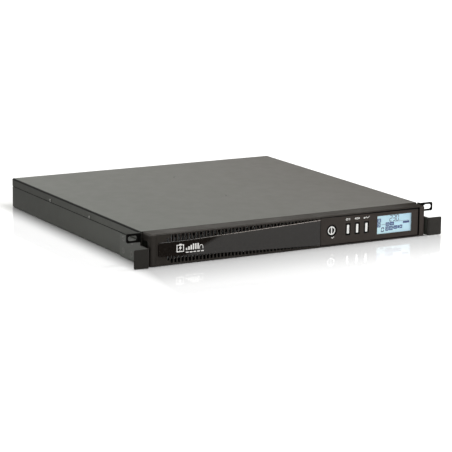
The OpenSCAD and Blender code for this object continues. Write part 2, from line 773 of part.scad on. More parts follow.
module transformer_coil() {
  color("#b5762d") difference() {
    extrude_x([132.4, 187.6]) rounded([44.4, 87.6], [3, 39], 3);
    box([145.8, 174.2], [43, 89], [9.8, 32.2]);
  }
}
module ribbon_cable() {
  // y range, z range of each straight run
  runs = [
    [[bezel_y + 13, 17], [29.6, 30.4]],
    [[16.2, 17], [2.2, 30.4]],
    [[16.2, 124], [2.2, 3]],
    [[123.2, 124], [2.2, 15]],
    [[123.2, 138], [14.2, 15]],
  ];
  color("#8d9196") union() {
    for (run = runs) box(span(ribbon_x, 9), run[0], run[1]);
    box(span(ribbon_x, 8), [134, 138], [14, 14.3]);
  }
}
module power_wires() {
  color("#7a2f22") {
    for (x = [170, 177, 184]) cyl_y(x, rear_y - 41, 18, 1.6, 16);
    // from the battery socket back, then right to the board: x, y of each bend
    for (p = [[-99, 349.8], [-91, 345.6]]) union() {
      cyl_y(p[0], 343, tab_z, 1.5, p[1] - 343);
      translate([p[0], p[1], tab_z]) sphere(r = 1.5);
      cyl_x(p[0], p[1], tab_z, 1.5, 22.5 - p[0]);
    }
  }
}

// ---- fans ----
module fan_frames() {
  color("#1e1e1e") for (x = fan_x) difference() {
    union() {
      difference() {
        extrude_y(from(panel_y, -20, 0)) rounded(span(x, 20), span(fan_z, 20), 3);
        cyl_y(x, panel_y - 21, fan_z, 18.9, 23);
        for (a = [0 : 90 : 270]) translate([x, panel_y - 10, fan_z]) rotate([0, a, 0])
          box([-12, 12], [-6.5, 6.5], [18, 21]);
      }
      // hub and spokes
      cyl_y(x, panel_y - 3, fan_z, 9.5, 2.9);
      for (a = [45 : 90 : 315]) translate([x, panel_y - 2.2, fan_z]) rotate([0, a, 0])
        box([8, 19.5], [0, 2.1], [-1.1, 1.1]);
    }
    fan_holes(x, panel_y - 21, fan_z, 1.7, 23);
    cyl_y(x, panel_y - 4, fan_z, 1.25, 3.4);
  }
}
module rotor(x) {
  color("#161616") translate([x, panel_y, fan_z]) union() {
    cyl_y(0, -18, 0, 8.4, 1, 9.2);
    cyl_y(0, -17.001, 0, 9.2, 13.4);
    cyl_y(0, -4, 0, 1.2, 3.2);
    for (i = [0 : blade_count - 1]) rotate([0, i * 360 / blade_count, 0]) intersection() {
      translate([0, -10.4, 8]) rotate([0, 0, blade_angle])
        translate([-8, -0.5, 0]) cube([16, 1, 12]);
      difference() {
        cyl_y(0, -17.2, 0, 18.3, 13.6);
        cyl_y(0, -18, 0, 8.6, 16);
      }
    }
  }
}
module fan_rotor_1() { rotor(fan_x[0]); }
module fan_rotor_2() { rotor(fan_x[1]); }
module fan_guards() {
  color("#c2c2bf") for (x = fan_x) translate([x, rear_y + 0.8, fan_z]) difference() {
    union() {
      for (r = [6, 10.5, 15, 19.2]) difference() {
        cyl_y(0, -0.6, 0, r + 0.6, 1.2);
        cyl_y(0, -1, 0, r - 0.6, 2);
      }
      for (a = [45, 135]) rotate([0, a, 0]) cyl_x(-21, 0, 0, 0.6, 42);
      fan_holes(0, -0.8, 0, 3.1, 1.6);
    }
    fan_holes(0, -2, 0, 1.7, 4);
  }
}

// ---- rear connections ----
module ac_inlet() {
  color("#1d1d1c") union() {
    difference() {
      union() {
        extrude_y(from(rear_y, 0, 2.5)) rounded(span(inlet_x, 25), span(socket_z, 11.5), 6);
        extrude_y(from(rear_y, -25, 0.1)) rounded(span(inlet_x, 13.7), span(socket_z, 9.9), 1);
      }
      extrude_y(from(rear_y, -16, 4))
        rounded4(span(inlet_x, 12), span(socket_z, 8.2), [1, 1, 5, 5]);
      for (x = inlet_screw_x) cyl_y(x, rear_y - 1, socket_z, 1.7, 5);
    }
    for (p = pins) box(span(inlet_x + p[0], 1), from(rear_y, -17, -1), span(socket_z + p[1], 2));
  }
}
module outlets() {
  color("#1d1d1c") for (x = outlet_x) difference() {
    union() {
      extrude_y(from(rear_y, 0, 2)) rounded(span(x, 15.8), span(socket_z, 12), 2);
      extrude_y(from(rear_y, -24, 0.1)) rounded(span(x, 13.4), span(socket_z, 9.9), 1);
    }
    extrude_y(from(rear_y, -1, 3)) difference() {
      rounded4(span(x, 13.2), span(socket_z, 9.6), [1, 1, 5.5, 5.5]);
      rounded4(span(x, 11.6), span(socket_z, 8), [1, 1, 4.6, 4.6]);
    }
    for (p = pins) box(span(x + p[0], 1.4), from(rear_y, -16, 3), span(socket_z + p[1], 2.6));
  }
}
module breaker_body() {
  color("#20201f") difference() {
    union() {
      box(span(breaker_x, 7), [rear_y - 24, panel_y], [9, 35]);
      cyl_y(breaker_x, panel_y - 1, socket_z, 5.9, 6.2);
      hex_y(breaker_x, rear_y + 2.6, socket_z, 8.6, 2.6);
    }
    cyl_y(breaker_x, rear_y - 7, socket_z, 4.1, 20);
  }
}
module breaker_button() {
  color("#101010") union() {
    cyl_y(breaker_x, rear_y - 6.5, socket_z, 4, 13);
    cyl_y(breaker_x, rear_y + 6.499, socket_z, 4, 0.6, 3.4);
  }
}
module comm_board() {
  color(board_green) difference() {
    box(span(comm_x, 28), from(rear_y, -55, -4), [8, 9.6]);
    for (x = comm_screw_x) cyl_z(x, comm_screw_y, 7, 1.6, 4);
  }
}
module usb_port() {
  color("#c9cac6") difference() {
    box(span(usb_x, 6), from(rear_y, -17, 0.4), [9.6, 20.6]);
    box(span(usb_x, 5.2), from(rear_y, -14, 2), [10.4, 19.8]);
    // upper corners
    for (x = span(usb_x, 5.65)) box(span(x, 0.55), from(rear_y, -15, 2), [19, 21]);
  }
}
module serial_port() {
  color("#b7b8b4") difference() {
    union() {
      box(span(serial_x, 15.5), from(rear_y, -2.4, -1.25), span(serial_z, 6.2));
      extrude_y(from(rear_y, -2.3, 5)) rounded(span(serial_x, 8.7), span(serial_z, 4.9), 2.2);
      box(span(serial_x, 9), from(rear_y, -14, -2.3), [9.6, 21.4]);
      for (x = serial_screw_x) {
        cyl_y(x, rear_y - 2, serial_z, 1.5, 2.1);
        hex_y(x, rear_y + 4.6, serial_z, 2.6, 4.6);
      }
    }
    extrude_y(from(rear_y, -1, 6)) rounded(span(serial_x, 7.9), span(serial_z, 4.1), 1.6);
    for (x = serial_screw_x) cyl_y(x, rear_y + 1, serial_z, 1.2, 5);
  }
}
module slot_cover() {
  color(dark_steel) difference() {
    union() {
      extrude_y(from(rear_y, 0, 1)) rounded(span(slot_cover_x, 28), span(slot_cover_z, 16), 1.5);
      for (z = span(slot_cover_z, 12.1))
        box(span(slot_cover_x, 21), from(rear_y, -4, 0.1), span(z, 0.5));
    }
    for (x = slot_cover_screw_x) cyl_y(x, rear_y - 1, slot_cover_z, 1.65, 4);
  }
}
module earth_stud() {
  color("#c9b27a") union() {
    cyl_y(earth_x, rear_y - 8, earth_z, 2, 17);
    hex_y(earth_x, rear_y + 3.2, earth_z, 4, 3.2);
    cyl_y(earth_x, rear_y - 5.2, earth_z, 3.4, 4);
  }
}

// lowers the pieces so that the slot centres lie at Z 0
module place() { translate([0, 0, -slot_z]) children(); }

place() base_tray();
place() top_cover();
place() rear_panel();
place() partition();
place() guide_rail();
place() ear_left();
place() ear_right();
place() ear_screws();
place() lid_screws();
place() top_screws();
place() bezel_screws();
place() panel_screws();
place() board_screws();
place() fan_screws();
place() standoffs();
place() bezel_frame();
place() vent_panel();
place() leaf_panel();
place() control_panel();
place() lcd_window();
place() lcd_module();
place() display_board();
place() tact_switches();
place() power_button();
place() power_ring();
place() key_1();
place() key_2();
place() key_3();
place() drawer_tray();
place() drawer_handle();
place() thumb_screws();
place() battery_block_1();
place() battery_block_2();
place() battery_block_3();
place() battery_block_4();
place() battery_links();
place() battery_plug();
place() battery_socket();
place() main_board();
place() heatsinks();
place() capacitors();
place() relays();
place() chokes();
place() transformer_core();
place() transformer_coil();
place() ribbon_cable();
place() power_wires();
place() fan_frames();
place() fan_rotor_1();
place() fan_rotor_2();
place() fan_guards();
place() ac_inlet();
place() outlets();
place() breaker_body();
place() breaker_button();
place() comm_board();
place() usb_port();
place() serial_port();
place() slot_cover();
place() earth_stud();
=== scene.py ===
import json
import math
import bpy
import bmesh
from mathutils import Vector, Matrix
from mathutils.geometry import delaunay_2d_cdt
from mathutils.bvhtree import BVHTree
from mathutils.kdtree import KDTree


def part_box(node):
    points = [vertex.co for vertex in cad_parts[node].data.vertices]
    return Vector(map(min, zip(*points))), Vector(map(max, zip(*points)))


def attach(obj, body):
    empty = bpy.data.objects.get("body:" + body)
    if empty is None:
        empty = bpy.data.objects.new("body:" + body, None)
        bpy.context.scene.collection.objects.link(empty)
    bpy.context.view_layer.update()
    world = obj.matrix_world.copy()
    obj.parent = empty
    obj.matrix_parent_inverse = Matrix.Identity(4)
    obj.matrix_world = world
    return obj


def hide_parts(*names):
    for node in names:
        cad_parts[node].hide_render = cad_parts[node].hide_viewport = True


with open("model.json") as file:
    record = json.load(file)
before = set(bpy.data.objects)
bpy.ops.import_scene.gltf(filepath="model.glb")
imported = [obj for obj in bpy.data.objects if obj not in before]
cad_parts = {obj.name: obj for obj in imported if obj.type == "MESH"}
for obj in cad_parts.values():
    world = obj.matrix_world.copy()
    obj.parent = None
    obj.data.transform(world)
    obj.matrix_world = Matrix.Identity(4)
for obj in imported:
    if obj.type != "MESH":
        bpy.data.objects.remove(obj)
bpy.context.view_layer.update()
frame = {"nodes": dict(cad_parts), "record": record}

MM = 0.001
Z0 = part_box("base_tray")[0].z / MM          # underside of the case, mm
NODES = frame["nodes"]
SLOT = {s["node"]: s["material_slot"] for s in frame["record"]["subparts"]}
BODY = {n: b for b, ns in frame["record"]["behaviour"]["bodies"].items() for n in ns}


def P(x, y, z):
    """A point given in mm, heights from the underside of the case."""
    return Vector((x * MM, y * MM, (z + Z0) * MM))


# ---------------------------------------------------------------- materials
class Nodes:
    def __init__(self, name):
        self.m = bpy.data.materials.new(name)
        self.m.use_nodes = True
        self.t = self.m.node_tree
        self.t.nodes.clear()
        self.out = self.t.nodes.new("ShaderNodeOutputMaterial")
        self.co = self.t.nodes.new("ShaderNodeTexCoord").outputs["Object"]

    def new(self, kind, **kw):
        n = self.t.nodes.new(kind)
        for k, v in kw.items():
            if hasattr(n, k) and not (isinstance(k, str) and k in n.inputs):
                setattr(n, k, v)
            else:
                n.inputs[k].default_value = v
        return n

    def link(self, a, b):
        self.t.links.new(a, b)
        return b

    def noise(self, scale, detail=3.0, rough=0.55, stretch=None, distortion=0.0):
        n = self.t.nodes.new("ShaderNodeTexNoise")
        n.inputs["Scale"].default_value = scale
        n.inputs["Detail"].default_value = detail
        n.inputs["Roughness"].default_value = rough
        n.inputs["Distortion"].default_value = distortion
        src = self.co
        if stretch:
            mp = self.t.nodes.new("ShaderNodeMapping")
            mp.inputs["Scale"].default_value = stretch
            self.link(src, mp.inputs["Vector"])
            src = mp.outputs["Vector"]
        self.link(src, n.inputs["Vector"])
        return n.outputs["Fac"]

    def range(self, v, a, b, c, d, smooth=False):
        n = self.t.nodes.new("ShaderNodeMapRange")
        if smooth:
            n.interpolation_type = "SMOOTHSTEP"
        self.link(v, n.inputs["Value"])
        for k, x in zip(("From Min", "From Max", "To Min", "To Max"), (a, b, c, d)):
            n.inputs[k].default_value = x
        return n.outputs["Result"]

    def math(self, op, a, b=None, clamp=False):
        n = self.t.nodes.new("ShaderNodeMath")
        n.operation = op
        n.use_clamp = clamp
        for i, x in enumerate((a, b)):
            if x is None:
                continue
            if isinstance(x, (int, float)):
                n.inputs[i].default_value = x
            else:
                self.link(x, n.inputs[i])
        return n.outputs[0]

    def mix(self, fac, a, b, blend="MIX"):
        n = self.t.nodes.new("ShaderNodeMix")
        n.data_type = "RGBA"
        n.blend_type = blend
        for sock, x in ((n.inputs[0], fac), (n.inputs[6], a), (n.inputs[7], b)):
            if isinstance(x, (int, float)):
                sock.default_value = x
            elif isinstance(x, (tuple, list)):
                sock.default_value = (*x[:3], 1.0)
            else:
                self.link(x, sock)
        return n.outputs[2]

    def edge(self, radius=0.4, lo=0.015, hi=0.16):
        """1 on convex and concave edges, 0 on flats, broken up by noise."""
        b = self.t.nodes.new("ShaderNodeBevel")
        b.samples = 4
        b.inputs["Radius"].default_value = radius * MM
        g = self.t.nodes.new("ShaderNodeNewGeometry")
        d = self.t.nodes.new("ShaderNodeVectorMath")
        d.operation = "DOT_PRODUCT"
        self.link(b.outputs["Normal"], d.inputs[0])
        self.link(g.outputs["Normal"], d.inputs[1])
        inv = self.math("SUBTRACT", 1.0, d.outputs["Value"])
        e = self.range(inv, lo, hi, 0.0, 1.0)
        n = self.range(self.noise(140, 4), 0.35, 0.7, 0.35, 1.0)
        return self.math("MULTIPLY", e, n, True)

    def bump(self, height, strength, dist, normal=None):
        n = self.t.nodes.new("ShaderNodeBump")
        n.inputs["Strength"].default_value = strength
        n.inputs["Distance"].default_value = dist * MM
        self.link(height, n.inputs["Height"])
        if normal is not None:
            self.link(normal, n.inputs["Normal"])
        return n.outputs["Normal"]

    def pbsdf(self, color, rough, metal=0.0, normal=None, **kw):
        p = self.t.nodes.new("ShaderNodeBsdfPrincipled")
        for k, v in (("Base Color", color), ("Roughness", rough), ("Metallic", metal)):
            if isinstance(v, (int, float)):
                p.inputs[k].default_value = v
            elif isinstance(v, (tuple, list)):
                p.inputs[k].default_value = (*v[:3], 1.0)
            else:
                self.link(v, p.inputs[k])
        if normal is not None:
            self.link(normal, p.inputs["Normal"])
        for k, v in kw.items():
            k = k.replace("_", " ")
            if isinstance(v, (int, float)):
                p.inputs[k].default_value = v
            elif isinstance(v, (tuple, list)):
                p.inputs[k].default_value = (*v[:3], 1.0)
            else:
                self.link(v, p.inputs[k])
        return p.outputs["BSDF"]

    def done(self, shader, preview=(0.5, 0.5, 0.5)):
        self.link(shader, self.out.inputs["Surface"])
        self.m.diffuse_color = (*preview[:3], 1.0)
        return self.m


def scaled(c, k):
    return tuple(min(1.0, x * k) for x in c[:3])


def powder(name, base, rough, grain=1500, height=0.03, strength=0.35, var=0.1, wear=0.5, wear_col=(0.30, 0.30, 0.29), spec=0.5, rvar=0.02, painted_light_tint=None, spec_x=None, lines=(), rear_shade=1.0):
    """Textured paint: fine orange-peel, slow tone drift, rubbed edges; painted shade in bands along folds and seams, a
    painted light colour shift across x and painted shade toward the back.
    """
    n = Nodes(name)
    drift = n.range(n.noise(7, 3), 0.3, 0.7, 0.0, 1.0)
    col = n.mix(drift, scaled(base, 1 - var), scaled(base, 1 + var))
    sep = n.t.nodes.new("ShaderNodeSeparateXYZ")
    n.link(n.co, sep.inputs[0])
    # painted light: the colour shifts across x toward a second colour, as light and reflection change across the
    # surface
    if painted_light_tint:
        col = n.mix(n.range(sep.outputs["X"], -0.22, 0.22, 0.0, 0.9), col, painted_light_tint)
    # painted shade: darker toward the back
    if rear_shade != 1.0:
        col = n.mix(n.range(sep.outputs["Y"], 0.12, 0.42, 0.0, 1.0), col, scaled(base, rear_shade))
    speck = n.range(n.noise(2600, 1), 0.45, 0.62, 0.0, 0.22)
    col = n.mix(speck, col, scaled(base, 1.9))
    e = n.edge(0.5)
    col = n.mix(n.math("MULTIPLY", e, wear), col, wear_col)
    r = n.range(n.noise(60, 3), 0.3, 0.7, rough - rvar, rough + rvar)
    r = n.math("SUBTRACT", r, n.math("MULTIPLY", e, 0.12), True)
    h = n.math("ADD", n.noise(grain, 2, 0.6), n.math("MULTIPLY", n.noise(grain * 0.28, 2), 0.6))
    nm = n.bump(h, strength, height)
    level = n.range(sep.outputs["X"], -0.22, 0.22, spec, spec_x if spec_x is not None else spec)
    ax = n.math("ABSOLUTE", sep.outputs["X"])
    for x0, z0, z1, k in lines:      # painted shade bands, from |x| = x0 outward, heights z0 to z1 in mm
        m = n.math("MULTIPLY", n.range(ax, x0 * MM, (x0 + 0.4) * MM, 0.0, k), n.range(sep.outputs["Z"], (z0 - 0.2 + Z0) * MM, (z0 + 0.2 + Z0) * MM, 0.0, 1.0))
        m = n.math("MULTIPLY", m, n.range(sep.outputs["Z"], (z1 - 0.2 + Z0) * MM, (z1 + 0.2 + Z0) * MM, 1.0, 0.0))
        col = n.mix(m, col, (0.003, 0.003, 0.003))
        level = n.math("MULTIPLY", level, n.math("SUBTRACT", 1.0, m), True)
    return n.done(n.pbsdf(col, r, 0.0, nm, Specular_IOR_Level=level), base)


def plastic(name, base, rough, grain=2200, height=0.015, strength=0.25, var=0.08, wear=0.35, spec=0.5, coat=0.0, coat_r=0.1, spec_x=None, painted_light_tint=None):
    n = Nodes(name)
    drift = n.range(n.noise(11, 3), 0.3, 0.7, 0.0, 1.0)
    col = n.mix(drift, scaled(base, 1 - var), scaled(base, 1 + var))
    sep = n.t.nodes.new("ShaderNodeSeparateXYZ")
    n.link(n.co, sep.inputs[0])
    # painted light: the colour shifts across x toward a lighter colour
    if painted_light_tint:
        col = n.mix(n.range(sep.outputs["X"], -0.12, 0.16, 0.0, 1.0), col, painted_light_tint)
    e = n.edge(0.35)
    col = n.mix(n.math("MULTIPLY", e, wear), col, scaled(base, 3.2) if max(base) < 0.3 else scaled(base, 0.75))
    r = n.range(n.noise(45, 4), 0.3, 0.7, max(0.02, rough - 0.05), rough + 0.05)
    nm = n.bump(n.noise(grain, 2, 0.5), strength, height)
    level = spec
    if spec_x is not None:
        level = n.range(sep.outputs["X"], -0.10, 0.20, spec, spec_x)
    return n.done(n.pbsdf(col, r, 0.0, nm, Specular_IOR_Level=level, Coat_Weight=coat, Coat_Roughness=coat_r), base)


def metal(name, base, rough, stretch=(1, 1, 1), scale=900, var=0.12, spangle=0.0, wear=0.4, strength=0.12):
    n = Nodes(name)
    drift = n.range(n.noise(16, 4), 0.3, 0.7, 0.0, 1.0)
    col = n.mix(drift, scaled(base, 1 - var), scaled(base, 1 + var * 0.6))
    lines = n.noise(scale, 3, 0.6, stretch)
    r = n.range(lines, 0.3, 0.7, max(0.05, rough - 0.09), rough + 0.1)
    if spangle:
        v = n.t.nodes.new("ShaderNodeTexVoronoi")
        v.inputs["Scale"].default_value = 150
        n.link(n.co, v.inputs["Vector"])
        bw = n.t.nodes.new("ShaderNodeRGBToBW")
        n.link(v.outputs["Color"], bw.inputs[0])
        tone = n.range(bw.outputs[0], 0.2, 0.8, 1 - spangle, 1.0)
        col = n.mix(1.0, col, n.mix(tone, (0.62, 0.64, 0.66), (1, 1, 1)), "MULTIPLY")
        r = n.math("ADD", r, n.math("MULTIPLY", bw.outputs[0], 0.12))
    e = n.edge(0.3)
    col = n.mix(n.math("MULTIPLY", e, wear), col, scaled(base, 1.5))
    nm = n.bump(lines, strength, 0.02)
    return n.done(n.pbsdf(col, r, 1.0, nm), base)


M = {}
# painted shade bands for the case paint: a painted shadow under the cover's lip, and painted shade along the cover's
# top fold
SEAM_SHADOW = (217.2, 30.9, 32.0, 0.92)
FOLD_SHADE = (216.2, 41.0, 44.0, 0.88)
M["case_paint"] = powder("case_paint", (0.0475, 0.0500, 0.0410), 0.42, rear_shade=0.58, var=0.05, wear=0.3, wear_col=(0.14, 0.14, 0.13), spec=0.34, lines=(SEAM_SHADOW, FOLD_SHADE))
M["cover_paint"] = powder("cover_paint", (0.031, 0.034, 0.026), 0.34, var=0.03, wear=0.3, wear_col=(0.14, 0.14, 0.13), spec=0.5, rvar=0.012, painted_light_tint=(0.034, 0.0265, 0.021), spec_x=0.12, lines=(FOLD_SHADE,))
M["ear_paint"] = powder("ear_paint", (0.0255, 0.0236, 0.0212), 0.40, wear=0.3, wear_col=(0.09, 0.082, 0.075), var=0.06, spec=0.14)
# painted shade and painted light copies of the ear paint: near-black for the shaded tab, lighter for the flange on the
# side
M["ear_shade"] = powder("ear_shade", (0.0030, 0.0028, 0.0025), 0.5, wear=0.2, wear_col=(0.02, 0.018, 0.016), var=0.06, spec=0.03)
M["ear_side_lit"] = powder("ear_side_lit", (0.056, 0.060, 0.051), 0.42, wear=0.3, wear_col=(0.14, 0.14, 0.13), var=0.05, spec=0.45)
M["zinc_sheet"] = metal("zinc_sheet", (0.55, 0.57, 0.58), 0.38, scale=300, spangle=0.35)
M["screw_steel"] = metal("screw_steel", (0.66, 0.66, 0.64), 0.27, scale=1600, wear=0.3)
M["screw_dim"] = metal("screw_dim", (0.42, 0.42, 0.40), 0.30, scale=1600, wear=0.3)
M["screw_black"] = metal("screw_black", (0.15, 0.148, 0.14), 0.36, scale=1600, wear=0.35)
M["bezel_plastic"] = plastic("bezel_plastic", (0.0310, 0.0272, 0.0236), 0.46, grain=2600, height=0.02, strength=0.3, spec=0.12, painted_light_tint=(0.0430, 0.0350, 0.0305))
# a darker copy of the bezel plastic for its top faces, painted shade
M["bezel_top_shade"] = plastic("bezel_top_shade", (0.0285, 0.0246, 0.0208), 0.46, grain=2600, height=0.02, strength=0.3, spec=0.11, spec_x=0.0, painted_light_tint=(0.0285, 0.0250, 0.0218))
M["panel_satin"] = plastic("panel_satin", (0.0305, 0.0262, 0.0226), 0.36, grain=2600, height=0.01, strength=0.2, spec=0.13)
M["button_white"] = plastic("button_white", (0.86, 0.86, 0.84), 0.30, wear=0.15, var=0.03)
M["button_black"] = plastic("button_black", (0.0065, 0.0060, 0.0056), 0.36, spec=0.16)
# grey copy of the white key plastic for the keys' sides, painted shade
M["key_side"] = plastic("key_side", (0.16, 0.16, 0.155), 0.5, wear=0.1)
M["switch_black"] = plastic("switch_black", (0.02, 0.02, 0.02), 0.45)
M["battery_case"] = plastic("battery_case", (0.075, 0.078, 0.084), 0.48, grain=900, height=0.05, strength=0.5)
M["connector_red"] = plastic("connector_red", (0.50, 0.045, 0.03), 0.42, grain=1800)
M["wire_jacket"] = plastic("wire_jacket", (0.36, 0.035, 0.025), 0.38, grain=700, wear=0.1)
M["heatsink_alu"] = metal("heatsink_alu", (0.74, 0.75, 0.76), 0.34, stretch=(1, 0.02, 1), scale=2400)
M["cap_sleeve"] = plastic("cap_sleeve", (0.016, 0.035, 0.11), 0.22, coat=0.4)
M["relay_case"] = plastic("relay_case", (0.70, 0.71, 0.67), 0.4)
M["brass_plated"] = metal("brass_plated", (0.72, 0.56, 0.27), 0.28, scale=1300)
M["fan_black"] = plastic("fan_black", (0.020, 0.020, 0.020), 0.42)
M["socket_black"] = plastic("socket_black", (0.022, 0.022, 0.022), 0.45)
M["port_shell"] = metal("port_shell", (0.70, 0.70, 0.67), 0.22, scale=1100)


def leaf_material():
    n = Nodes("leaf_gloss")
    base = (0.0082, 0.0060, 0.0046)
    smear = n.range(n.noise(22, 5, 0.6, (1, 1, 2.4)), 0.42, 0.72, 0.0, 1.0)
    dust = n.range(n.noise(3200, 1), 0.66, 0.72, 0.0, 0.5)
    col = n.mix(dust, base, (0.10, 0.098, 0.095))
    r = n.range(smear, 0, 1, 0.05, 0.11)
    wav = n.bump(n.noise(30, 2), 0.03, 0.05)
    return n.done(n.pbsdf(col, r, 0.0, wav, Specular_IOR_Level=0.46), base)


def leaf_edge_highlight_material():
    """Moulded rim of the gloss panel: satin, with a painted highlight that grows paler toward the middle of the unit.
    """
    n = Nodes("leaf_edge_highlight")
    sep = n.t.nodes.new("ShaderNodeSeparateXYZ")
    n.link(n.co, sep.inputs[0])
    k = n.range(sep.outputs["X"], -0.172, -0.06, 0.0, 1.0)
    col = n.mix(k, (0.012, 0.011, 0.010), (0.36, 0.31, 0.28))
    fade = n.range(n.noise(26, 3), 0.3, 0.7, 0.0, 0.25)
    col = n.mix(fade, col, (0.06, 0.05, 0.045))
    nm = n.bump(n.noise(1800, 2, 0.5), 0.15, 0.01)
    return n.done(n.pbsdf(col, 0.42, 0.0, nm, Specular_IOR_Level=0.35), (0.02, 0.02, 0.02))


def window_material():
    n = Nodes("window_clear")
    tr = n.t.nodes.new("ShaderNodeBsdfTransparent")
    tr.inputs["Color"].default_value = (0.965, 0.985, 0.99, 1)
    gl = n.t.nodes.new("ShaderNodeBsdfGlossy")
    n.link(n.range(n.noise(40, 4), 0.35, 0.7, 0.03, 0.10), gl.inputs["Roughness"])
    fr = n.t.nodes.new("ShaderNodeFresnel")
    fr.inputs["IOR"].default_value = 1.42
    e = n.edge(0.3)
    fac = n.math("ADD", n.math("MULTIPLY", fr.outputs[0], 0.5), n.math("MULTIPLY", e, 0.25), True)
    mx = n.t.nodes.new("ShaderNodeMixShader")
    n.link(fac, mx.inputs[0])
    n.link(tr.outputs[0], mx.inputs[1])
    n.link(gl.outputs[0], mx.inputs[2])
    return n.done(mx.outputs[0], (0.75, 0.86, 0.9))


def lcd_material():
    n = Nodes("lcd_pale")
    sep = n.t.nodes.new("ShaderNodeSeparateXYZ")
    n.link(n.co, sep.inputs[0])
    across = n.range(sep.outputs["X"], 0.136, 0.192, 0.0, 1.0)
    up = n.range(sep.outputs["Z"], (9.5 + Z0) * MM, (35 + Z0) * MM, 0.0, 1.0)
    c = n.mix(across, (0.56, 0.73, 0.77), (0.53, 0.71, 0.81))
    c = n.mix(n.math("MULTIPLY", up, 0.5), c, (0.50, 0.68, 0.80))
    # faint cell grid
    w1 = n.t.nodes.new("ShaderNodeTexWave")
    w1.bands_direction = "X"
    w1.inputs["Scale"].default_value = 700
    n.link(n.co, w1.inputs["Vector"])
    c = n.mix(n.range(w1.outputs["Fac"], 0.0, 0.15, 0.06, 0.0), c, (0.3, 0.5, 0.55))
    c = n.mix(n.range(n.noise(60, 3), 0.3, 0.7, 0.0, 0.12), c, (0.62, 0.80, 0.84))
    sh = n.pbsdf(c, n.range(n.noise(150, 2), 0.3, 0.7, 0.30, 0.42), 0.0, None, Emission_Color=c, Emission_Strength=0.35)
    return n.done(sh, (0.62, 0.78, 0.84))


def ink_material(name, col, emit=0.0, rough=0.5):
    n = Nodes(name)
    c = n.mix(n.range(n.noise(260, 4), 0.3, 0.7, 0.0, 1.0), scaled(col, 0.9), scaled(col, 1.06))
    nm = n.bump(n.noise(2600, 2), 0.2, 0.01)
    return n.done(n.pbsdf(c, n.range(n.noise(300, 2), 0.3, 0.7, rough - 0.05, rough + 0.05), 0.0, nm, Emission_Color=c, Emission_Strength=emit), col)


def board_material():
    n = Nodes("board_green")
    sep = n.t.nodes.new("ShaderNodeSeparateXYZ")
    n.link(n.co, sep.inputs[0])
    base = n.mix(n.range(n.noise(40, 3), 0.3, 0.7, 0, 1), (0.018, 0.10, 0.045), (0.028, 0.15, 0.065))
    b = n.t.nodes.new("ShaderNodeTexBrick")
    b.inputs["Scale"].default_value = 130
    b.inputs["Mortar Size"].default_value = 0.035
    b.inputs["Color1"].default_value = (0, 0, 0, 1)
    b.inputs["Color2"].default_value = (0, 0, 0, 1)
    b.inputs["Mortar"].default_value = (1, 1, 1, 1)
    n.link(n.co, b.inputs["Vector"])
    tr = n.math("MULTIPLY", b.outputs["Color"], n.range(n.noise(70, 2), 0.48, 0.52, 0, 0.6))
    col = n.mix(tr, base, (0.10, 0.26, 0.10))
    v = n.t.nodes.new("ShaderNodeTexVoronoi")
    v.inputs["Scale"].default_value = 240
    n.link(n.co, v.inputs["Vector"])
    col = n.mix(n.range(v.outputs["Distance"], 0.10, 0.13, 0.8, 0.0), col, (0.62, 0.60, 0.52))
    nm = n.bump(tr, 0.25, 0.05)
    e = n.edge(0.3)
    col = n.mix(n.math("MULTIPLY", e, 0.5), col, (0.30, 0.33, 0.20))
    return n.done(n.pbsdf(col, n.range(n.noise(90, 2), 0.3, 0.7, 0.28, 0.4), 0.0, nm), (0.03, 0.16, 0.07))


def banded(name, a, b, scale, direction, rough, metal_=0.0, depth=0.15, strength=0.6):
    n = Nodes(name)
    w = n.t.nodes.new("ShaderNodeTexWave")
    w.bands_direction = direction
    w.inputs["Scale"].default_value = scale
    w.inputs["Distortion"].default_value = 0.3
    n.link(n.co, w.inputs["Vector"])
    c = n.mix(w.outputs["Fac"], a, b)
    c = n.mix(n.range(n.noise(60, 3), 0.3, 0.7, 0.0, 0.3), c, scaled(b, 0.7))
    nm = n.bump(w.outputs["Fac"], strength, depth)
    e = n.edge(0.3)
    c = n.mix(n.math("MULTIPLY", e, 0.3), c, scaled(b, 1.3))
    return n.done(n.pbsdf(c, n.range(n.noise(120, 2), 0.3, 0.7, rough - 0.06, rough + 0.06), metal_, nm), a)


M["leaf_gloss"] = leaf_material()
M["leaf_edge_highlight"] = leaf_edge_highlight_material()
M["window_clear"] = window_material()
M["lcd_pale"] = lcd_material()
M["board_green"] = board_material()
M["copper_winding"] = banded("copper_winding", (0.22, 0.075, 0.02), (0.62, 0.26, 0.09), 420, "Z", 0.32)
M["core_steel"] = banded("core_steel", (0.20, 0.20, 0.20), (0.42, 0.42, 0.41), 320, "Z", 0.42, 0.8)
M["ribbon_grey"] = banded("ribbon_grey", (0.28, 0.29, 0.31), (0.46, 0.47, 0.49), 125, "X", 0.45)
M["lcd_ink"] = ink_material("lcd_ink", (0.035, 0.065, 0.24), 0.04)
M["lcd_thin"] = ink_material("lcd_thin", (0.10, 0.15, 0.26), 0.04)
# near-black painted shade for the insides of openings, slots and recesses
M["recess_shade"] = plastic("recess_shade", (0.0045, 0.0040, 0.0036), 0.62, grain=1800, wear=0.2, spec=0.14)
M["print_white"] = ink_material("print_white", (0.84, 0.83, 0.81), 0.0)
M["contact_metal"] = metal("contact_metal", (0.78, 0.66, 0.40), 0.25, scale=1500)
M["contact_dark"] = plastic("contact_dark", (0.01, 0.01, 0.01), 0.6)


# ---------------------------------------------------------------- mesh tools
def shade(me, angle=32):
    for p in me.polygons:
        p.use_smooth = True
    me.set_sharp_from_angle(angle=math.radians(angle))


def weighted(o):
    w = o.modifiers.new("weighted", "WEIGHTED_NORMAL")
    w.keep_sharp = True
    w.weight = 60
    return o


